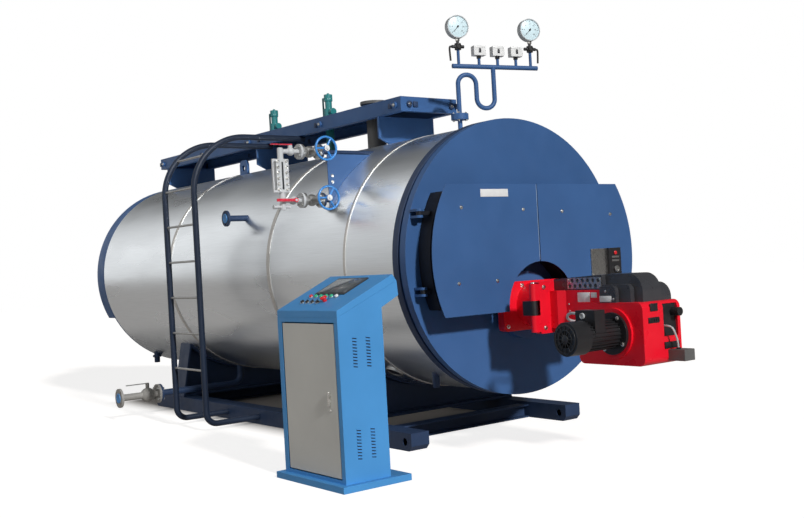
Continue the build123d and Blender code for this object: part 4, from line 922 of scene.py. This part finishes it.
class BOILER_OT_gauge_stand(bpy.types.Operator):
    """Stand pipe with siphon, dial gauges and pressure switches"""

    bl_idname = "boiler.gauge_stand"
    bl_label = "Dress gauge stand"

    def execute(self, context):
        skin("stand_pipe", "blue")
        skin("gauge_siphon", "blue")
        skin("gauge_cocks", "black")
        skin("pressure_gauges", "case")
        skin("pressure_switches", "white", 0.003)
        for name, along, way in GAUGES:
            self.dial(along, name)
            self.cock_lever(along, way, name)
        self.switches()
        self.flange_bolts()
        return {"FINISHED"}

    def dial(self, along, name):
        fit(disc(0.0755, 0.0022, 48, 0.0004), [on_stand(along, DIAL_OUT, GAUGE_Z)],
            "dial_face_" + name, "dial")
        front = on_stand(along, DIAL_PRINT_OUT, GAUGE_Z)
        settle(self.scale(front), "dial_marks_" + name, "ink")
        turn = Matrix.Rotation(math.radians(NEEDLE_TURN), 4, "Z")
        fit(self.needle(), [front @ turn], "dial_needle_" + name, "ink")
        fit(disc(0.017, 0.020, 6, 0.0015), [on_manifold(along, GAUGE_Z - GAUGE_NUT_DROP)],
            "gauge_nut_" + name, "nickel")

    def scale(self, front):
        marks = []
        for step in range(DIAL_STEPS + 1):
            numbered = step % DIAL_NUMBERED == 0
            start, half = LONG_STROKE if numbered else SHORT_STROKE
            angle = math.radians(DIAL_START - DIAL_SWEEP * step / DIAL_STEPS)
            turn = front @ Matrix.Rotation(angle, 4, "Z")
            stroke = block((start, -half, 0), (STROKE_END, half, STROKE_T), soft=0.0001, steps=1)
            marks.append(copies(stroke, [turn]))
            if numbered:
                spot = turn.to_translation() + turn.to_3x3() @ NUMBER_SPOT
                place = upright(spot) @ front.to_3x3().to_4x4()
                marks.append(figure(str(step), NUMBER_SIZE, place))
        return joined(*marks)

    def needle(self):
        arm = box((0.066, 0.0042, 0.0014), (0.020, 0, 0.003), soft=0.0006)
        edit(arm)
        pick(lambda v: v.co.x > 0.050, "VERT")
        bpy.ops.transform.resize(value=(1.0, 0.25, 1.0))
        leave()
        return joined(arm, disc(0.0075, 0.005, 20))

    def cock_lever(self, along, way, name):
        path = [on_stand(along + way * out, 0, COCK_Z + rise).to_translation()
                for out, rise in COCK_LEVER]
        lever = tube(path, radius=0.0075)
        settle(lever, "cock_lever_" + name, "rubber", angle=TUBE_SMOOTH)
        fit(dish(0.018, 0.010, 0.005, 0.004, 28), [on_stand(along, 0.021, COCK_Z)],
            "cock_boss_" + name, "rubber")

    def switches(self):
        fit(box((0.018, 0.034, 0.002), (0, 0, 0.0005), soft=0.0006),
            [on_stand(along, SWITCH_FACE, SWITCH_Z + 0.036) for along in SWITCHES_ALONG],
            "switch_windows", "ink")
        fit(box((0.090, 0.012, 0.003), soft=0.001),
            [on_stand(along, SWITCH_FACE, SWITCH_Z + 0.062) for along in SWITCHES_ALONG],
            "switch_lids", "white")
        fit(disc(0.018, 0.020, 6, 0.0015),
            [on_manifold(along, SWITCH_Z - 0.019) for along in SWITCHES_ALONG],
            "switch_nuts", "black")

    def flange_bolts(self):
        places = []
        for height, way in STAND_FLANGES:
            places += ring_places(at(-STAND_BACK, 0, height), way, STAND_BOLT_RING, 4)
        fit(stud_nut(0.009), places, "stand_bolts", "cast")


# Water gauge: heights of its branches, and the column's bolts
LEVELS = {"lower": 1.740, "upper": 2.085}
LEVEL_BACK, LEVEL_JOINTS, LEVEL_JOINT_HALF, LEVEL_BOLT_RING = -1.135, (-0.870, -1.020), 0.016, 0.043
WHEEL_Y, COLUMN_Y, COLUMN_BOLT_Y = -0.945, -1.175, 0.033
COLUMN_BOLTS = [1.814 + 0.0394 * index for index in range(6)]


class BOILER_OT_water_gauge(bpy.types.Operator):
    """Water gauge with valves, handwheels and levers"""

    bl_idname = "boiler.water_gauge"
    bl_label = "Dress water gauge"

    def execute(self, context):
        skin("gauge_pipes", "navy")
        skin("gauge_bracket", "blue")
        skin("gauge_valves", "cast")
        skin("water_gauge_cocks", "pale_cast")
        skin("gauge_column", "pale_cast")
        for level, z in LEVELS.items():
            skin("handwheel_" + level, "wheel")
            skin("gauge_lever_" + level, "lever_red")
            self.wheel_cap(level, z)
        self.flange_bolts()
        self.column()
        return {"FINISHED"}

    def wheel_cap(self, level, z):
        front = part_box("handwheel_" + level)[1].x
        place = facing((front - 0.001, WHEEL_Y, z), AHEAD)
        cap = joined(copies(disc(0.021, 0.005, 28, 0.002), [place]),
                     copies(disc(0.011, 0.013, 6, 0.0015), [place]))
        settle(cap, "wheel_cap_" + level, "white", level + "_wheel")

    def flange_bolts(self):
        places = []
        for z in LEVELS.values():
            for joint in LEVEL_JOINTS:
                places += ring_places(at(LEVEL_BACK, joint - LEVEL_JOINT_HALF, z), NEAR,
                                      LEVEL_BOLT_RING, 4)
                places += ring_places(at(LEVEL_BACK, joint + LEVEL_JOINT_HALF, z), -NEAR,
                                      LEVEL_BOLT_RING, 4)
        fit(stud_nut(0.008), places, "level_bolts", "cast")
        fit(hex_bolt(0.009), [facing(at(-1.087, -0.795, z), AHEAD) for z in (1.868, 1.912)],
            "bracket_bolts", "nickel")

    def column(self):
        front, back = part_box("gauge_column")[1].x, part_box("gauge_column")[0].x
        places = [facing((x, COLUMN_Y + side * COLUMN_BOLT_Y, z), way) for x,
                  way in ((front, AHEAD), (back, -AHEAD))
                  for side in (-1, 1) for z in COLUMN_BOLTS]
        fit(hex_bolt(0.009), places, "column_bolts", "nickel")
        glass = block((front - 0.0105, -1.1822, 1.8155), (front - 0.003, -1.1678, 2.0095), 0.0015)
        settle(glass, "level_glass", "ink")


# Pipework: flange faces with their caps' radii, and the blow-down joint
FLANGE_CAPS = (((-2.412, -1.009, 1.690), 0.038), ((-3.860, -1.419, 0.205), 0.044))
BLOWDOWN_JOINT = (-3.860, -1.060, 0.205)
BLOWDOWN_JOINT_HALF = 0.020
BLOWDOWN_BOLT_RING = 0.065


class BOILER_OT_pipework(bpy.types.Operator):
    """Feed nozzle and blow-down line"""

    bl_idname = "boiler.pipework"
    bl_label = "Dress pipework"

    def execute(self, context):
        skin("feed_nozzle", "navy")
        skin("blowdown_pipe", "navy")
        skin("blowdown_valve", "valve")
        skin("blowdown_lever", "cast")
        caps = [copies(dish(radius, height=0.006, rim=0.006, depth=0.002),
                       [facing(at(*spot), NEAR)]) for spot, radius in FLANGE_CAPS]
        settle(joined(*caps), "flange_caps", "cap")
        places = []
        for way in (NEAR, -NEAR):
            face = at(*BLOWDOWN_JOINT) + way * BLOWDOWN_JOINT_HALF
            places += ring_places(face, way, BLOWDOWN_BOLT_RING, 4)
        fit(stud_nut(0.011), places, "blowdown_bolts", "cast")
        return {"FINISHED"}


class BOILER_OT_skid(bpy.types.Operator):
    """Skid runners, cross beams and saddles"""

    bl_idname = "boiler.skid"
    bl_label = "Dress skid"

    def execute(self, context):
        # The skid takes the darker blue that stands in for its shade, painted shade.
        skin("runners cross_beams saddles", "navy", 0.004)
        return {"FINISHED"}


class BOILER_OT_ladder(bpy.types.Operator):
    """Ladder stiles and rungs"""

    bl_idname = "boiler.ladder"
    bl_label = "Dress ladder"

    def execute(self, context):
        skin("ladder_stiles", "ladder")
        skin("ladder_rungs", "cast")
        return {"FINISHED"}


# Desk: places across and up the lid from the middle of its lower edge, and louvres across and up
LID_T = 0.040
LID_SLOPE = math.atan2(0.185, 0.384)
SCREEN_LOW, SCREEN_HIGH = (-0.160, 0.200, 0.0075), (0.147, 0.367, 0.0092)
BUTTON_FIRST, BUTTON_PITCH, BUTTONS, SELECTORS = -0.175, 0.059, 6, 4
LAMP_ROW, SELECTOR_ROW, DOT_ROW = 0.160, 0.092, 0.128
STOP_BUTTON = (0.061, 0.109)
STOP_HEAD_RISE = 0.018
LOUVRES = ((-1.596, 0.690), (-1.5065, 0.686), (-1.6005, 0.171), (-1.5075, 0.167))
LOUVRE_SLOTS = 10
LOUVRE_TILT = math.radians(-10)
LOCK_DROP = 0.022


def on_lid(across, up):
    """A place on the desk's sloping lid, measured from the middle of its lower edge."""
    middle = Vector(((LID[0].x + LID[1].x) / 2, LID[0].y, LID[0].z + LID_T))
    return upright(middle) @ Matrix.Rotation(LID_SLOPE, 4, "X") @ upright((across, up, 0))


class BOILER_OT_desk(bpy.types.Operator):
    """Control desk with door, vents, screen and push buttons"""

    bl_idname = "boiler.desk"
    bl_label = "Dress control desk"

    def execute(self, context):
        skin("desk_plinth desk_cabinet desk_lid", "desk", 0.002)
        skin("desk_door", "desk_grey", 0.0015)
        skin("desk_handle", "nickel", 0.003)
        skin("desk_screen", "bezel", 0.002)
        fit(block(SCREEN_LOW, SCREEN_HIGH, soft=0.0008), [on_lid(0, 0)], "screen_glass", "screen")
        self.buttons()
        self.louvres()
        self.lock()
        return {"FINISHED"}

    def buttons(self):
        across = [BUTTON_FIRST + BUTTON_PITCH * index for index in range(BUTTONS)]
        lamps = [on_lid(x, LAMP_ROW) for x in across]
        selectors = [on_lid(x, SELECTOR_ROW) for x in across[:SELECTORS]]
        stop = on_lid(*STOP_BUTTON)
        rim = dish(0.0155, 0.006, 0.0035, 0.002, 28)
        rims = fit(rim, lamps + selectors, "button_rims", "nickel")
        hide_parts("desk_buttons")
        for name, places, finish in (("button_red", lamps[:1], "lens_red"),
                                     ("buttons_green", lamps[1:5], "lens_green"),
                                     ("button_pale", lamps[5:], "white")):
            fit(disc(0.0112, 0.016, 24, 0.004, 3), places, name, finish)
        knob = joined(disc(0.0115, 0.010, 24, 0.002),
                      box((0.006, 0.022, 0.010), (0, 0, 0.012), soft=0.0015))
        fit(knob, selectors, "selectors", "black")
        # The stop button is no lamp, yet takes the glowing red lamp lens: painted light.
        stem = copies(disc(0.012, 0.022, 24), [stop])
        head = disc(0.021, 0.014, soft=0.006, steps=4)
        head = copies(head, [stop @ upright((0, 0, STOP_HEAD_RISE))])
        settle(joined(stem, head), "stop_button", "lens_red")
        fit(disc(0.004, 0.002, 14, 0.0006), [on_lid(x, DOT_ROW) for x in across[:5]],
            "button_dots", "ink")

    def louvres(self):
        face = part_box("desk_cabinet")[1].x
        width, pitch = fittings().louvre_w, fittings().louvre_pitch
        slot = box((0.0016, width, 0.006), (0.0002, 0, 0), soft=0.0007)
        hood = box((0.006, width + 0.003, 0.0035), (0.0022, 0, 0.0045), soft=0.0015)
        tilt = Matrix.Rotation(LOUVRE_TILT, 4, "X")
        places = [upright((face, y, z + index * pitch)) @ tilt
                  for y, z in LOUVRES for index in range(LOUVRE_SLOTS)]
        fit(slot, places, "louvre_slots", "shadow")
        fit(hood, places, "louvre_hoods", "desk")

    def lock(self):
        low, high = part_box("desk_handle")
        spot = ((low.x + high.x) / 2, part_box("desk_door")[0].y, low.z - LOCK_DROP)
        fit(dish(0.009, 0.004, 0.002, 0.0015, 24), [facing(spot, NEAR)], "door_lock", "nickel",
            "desk_door")


# Stage
FLOOR_SIZE = 90
FLOOR_IN_METAL = 0.10
# Painted shade: the patch of floor under the drum that is left unlifted and dark.
SHADE_X = (FRONT - 5.2, FRONT - 1.2)
SHADE_Y = (-0.70, 1.00)
SHADE_FADE = 0.35
METAL_LEVELS = ((0.10, 0.25), (0.22, 0.34), (0.32, 1.0), (0.385, 1.0), (0.455, 0.30))
FAR_SIDE_AT = 0.53
SUN_WAY = Vector((-1.0, 0.08, -0.53))
SUN_ANGLE = math.radians(4)
FILL_AT, FILL_AIM = Vector((-1.6, -9.0, 4.0)), Vector((-1.6, -0.9, 1.2))
FILL_SIZE = (8.0, 3.0)
SENSOR_WIDTH = 36.0
CAMERA_SHIFT = (-0.1474, -0.0038)


def result(tree, operation, *sources):
    """A math node's result from outputs or numbers."""
    made = node(tree, "Math")
    made.operation = operation
    for target, source in zip(made.inputs, sources):
        feed(tree, target, source)
    return made.outputs["Value"]


def rays(tree):
    """1 for what the camera sees straight or through glass, and 1 for what metal mirrors."""
    path = node(tree, "LightPath").outputs
    seen = result(tree, "MAXIMUM", path["Is Camera Ray"], path["Is Transmission Ray"])
    return seen, path["Is Glossy Ray"]


class BOILER_OT_stage(bpy.types.Operator):
    """Floor, light, background and camera"""

    bl_idname = "boiler.stage"
    bl_label = "Set the stage"

    def execute(self, context):
        settings = context.scene.boiler_stage
        context.scene.view_settings.view_transform = "Standard"
        self.floor(settings)
        self.world(context, settings)
        self.lamps(settings)
        self.camera(context, settings)
        return {"FINISHED"}

    def floor(self, settings):
        """Pale floor, lifted to white for the eye except under the drum, where it is left dark as
        painted shade.
        """
        deselect()
        bpy.ops.mesh.primitive_plane_add(size=FLOOR_SIZE, location=(0, 0, 0))
        floor = bpy.context.object
        floor.name = "studio_floor"
        mat = shader("studio_floor", settings.floor, roughness=0.9)
        tint(mat, grain(mat, scale=0.8), *shades(settings.floor, 0.02))
        tree = mat.node_tree
        seen, mirrored = rays(tree)
        lifted = result(tree, "MULTIPLY_ADD", mirrored, FLOOR_IN_METAL, seen)
        clear = result(tree, "MULTIPLY_ADD", self.under_boiler(tree), -settings.lift, settings.lift)
        dress(mat, Specular_IOR_Level=0.1, Emission_Color=(1, 1, 1, 1),
              Emission_Strength=result(tree, "MULTIPLY", lifted, clear))
        floor.data.materials.append(mat)

    def under_boiler(self, tree):
        """Painted shade: 1 on the floor under the drum, where it isn't lifted to white, fading to 0
        round it.
        """
        place = node(tree, "TexCoord").outputs["Object"]
        split = node(tree, "SeparateXYZ", Vector=place).outputs
        value = 1.0
        for axis, (low, high) in (("X", SHADE_X), ("Y", SHADE_Y)):
            for start, end in ((low - SHADE_FADE, low), (high + SHADE_FADE, high)):
                step = node(tree, "MapRange", Value=split[axis], From_Min=start, From_Max=end)
                step.interpolation_type = "SMOOTHSTEP"
                value = result(tree, "MULTIPLY", step.outputs["Result"], value)
        return value

    def world(self, context, settings):
        """White to the eye, dim and even as light, and in metal darker beyond the boiler."""
        world = bpy.data.worlds.new("studio")
        context.scene.world = world
        world.use_nodes = True
        tree = world.node_tree
        tree.nodes.clear()
        seen, mirrored = rays(tree)
        place = node(tree, "TexCoord").outputs["Generated"]
        across = node(tree, "SeparateXYZ", Vector=place).outputs["Y"]
        spread = node(tree, "MapRange", Value=across, From_Min=-1.0).outputs["Result"]
        levels = (*METAL_LEVELS, (FAR_SIDE_AT, settings.far_side))
        mirror = ramp(tree, spread, *[(spot, (level,) * 3) for spot, level in levels])
        above = result(tree, "SUBTRACT", mirror, settings.ambient)
        metal = result(tree, "MULTIPLY_ADD", mirrored, above, settings.ambient)
        back = node(tree, "Background", Color=(1, 1, 1, 1),
                    Strength=result(tree, "MAXIMUM", seen, metal))
        node(tree, "OutputWorld", Surface=back.outputs["Background"])

    def lamps(self, settings):
        deselect()
        bpy.ops.object.light_add(type="SUN", location=(6, 0, 6))
        sun = bpy.context.object
        sun.name = "key_light"
        sun.data.energy = settings.sun
        sun.data.angle = SUN_ANGLE
        sun.rotation_euler = SUN_WAY.to_track_quat("-Z", "Y").to_euler()
        bpy.ops.object.light_add(type="AREA", location=FILL_AT)
        fill = bpy.context.object
        fill.name = "fill_light"
        fill.data.energy = settings.fill
        fill.data.shape = "RECTANGLE"
        fill.data.size, fill.data.size_y = FILL_SIZE
        fill.rotation_euler = (FILL_AIM - FILL_AT).to_track_quat("-Z", "Y").to_euler()

    def camera(self, context, settings):
        azimuth, pitch, roll = settings.azimuth, settings.pitch, settings.roll
        level = math.cos(pitch)
        back = Vector((math.sin(azimuth) * level, -math.cos(azimuth) * level, math.sin(pitch)))
        right = Vector((math.cos(azimuth), math.sin(azimuth), 0.0))
        up = back.cross(right)
        across = math.cos(roll) * right + math.sin(roll) * up
        upward = math.cos(roll) * up - math.sin(roll) * right
        data = bpy.data.cameras.new("photo_camera")
        data.sensor_width = SENSOR_WIDTH
        data.lens = settings.lens
        data.shift_x, data.shift_y = CAMERA_SHIFT
        camera = bpy.data.objects.new("photo_camera", data)
        context.collection.objects.link(camera)
        turn = Matrix((across, upward, back)).transposed().to_4x4()
        camera.matrix_world = upright(at(*settings.camera_at)) @ turn
        context.scene.camera = camera


OPERATORS = (BOILER_OT_drum, BOILER_OT_doors, BOILER_OT_burner, BOILER_OT_platform,
             BOILER_OT_gauge_stand, BOILER_OT_water_gauge, BOILER_OT_pipework, BOILER_OT_skid,
             BOILER_OT_ladder, BOILER_OT_desk, BOILER_OT_stage)


class BOILER_PT_panel(bpy.types.Panel):
    """Sidebar panel with the settings and one button for each group of pieces"""

    bl_label = "Boiler"
    bl_idname = "BOILER_PT_panel"
    bl_space_type = "VIEW_3D"
    bl_region_type = "UI"
    bl_category = "Boiler"

    def draw(self, context):
        layout = self.layout
        scene = context.scene
        for group in (scene.boiler_finishes, scene.boiler_fittings, scene.boiler_stage):
            for name in group.__annotations__:
                layout.prop(group, name)
        for operator in OPERATORS:
            layout.operator(operator.bl_idname)


CLASSES = (BoilerFinishes, BoilerFittings, BoilerStage, *OPERATORS, BOILER_PT_panel)


def register():
    """Registers the classes and their settings."""
    for cls in CLASSES:
        bpy.utils.register_class(cls)
    bpy.types.Scene.boiler_finishes = PointerProperty(type=BoilerFinishes)
    bpy.types.Scene.boiler_fittings = PointerProperty(type=BoilerFittings)
    bpy.types.Scene.boiler_stage = PointerProperty(type=BoilerStage)


def unregister():
    """Removes the classes and their settings."""
    del bpy.types.Scene.boiler_stage
    del bpy.types.Scene.boiler_fittings
    del bpy.types.Scene.boiler_finishes
    for cls in reversed(CLASSES):
        bpy.utils.unregister_class(cls)


def main():
    """Builds every group in order."""
    register()
    make_materials()
    for operator in OPERATORS:
        group, name = operator.bl_idname.split(".")
        getattr(getattr(bpy.ops, group), name)()


if __name__ == "__main__":
    main()
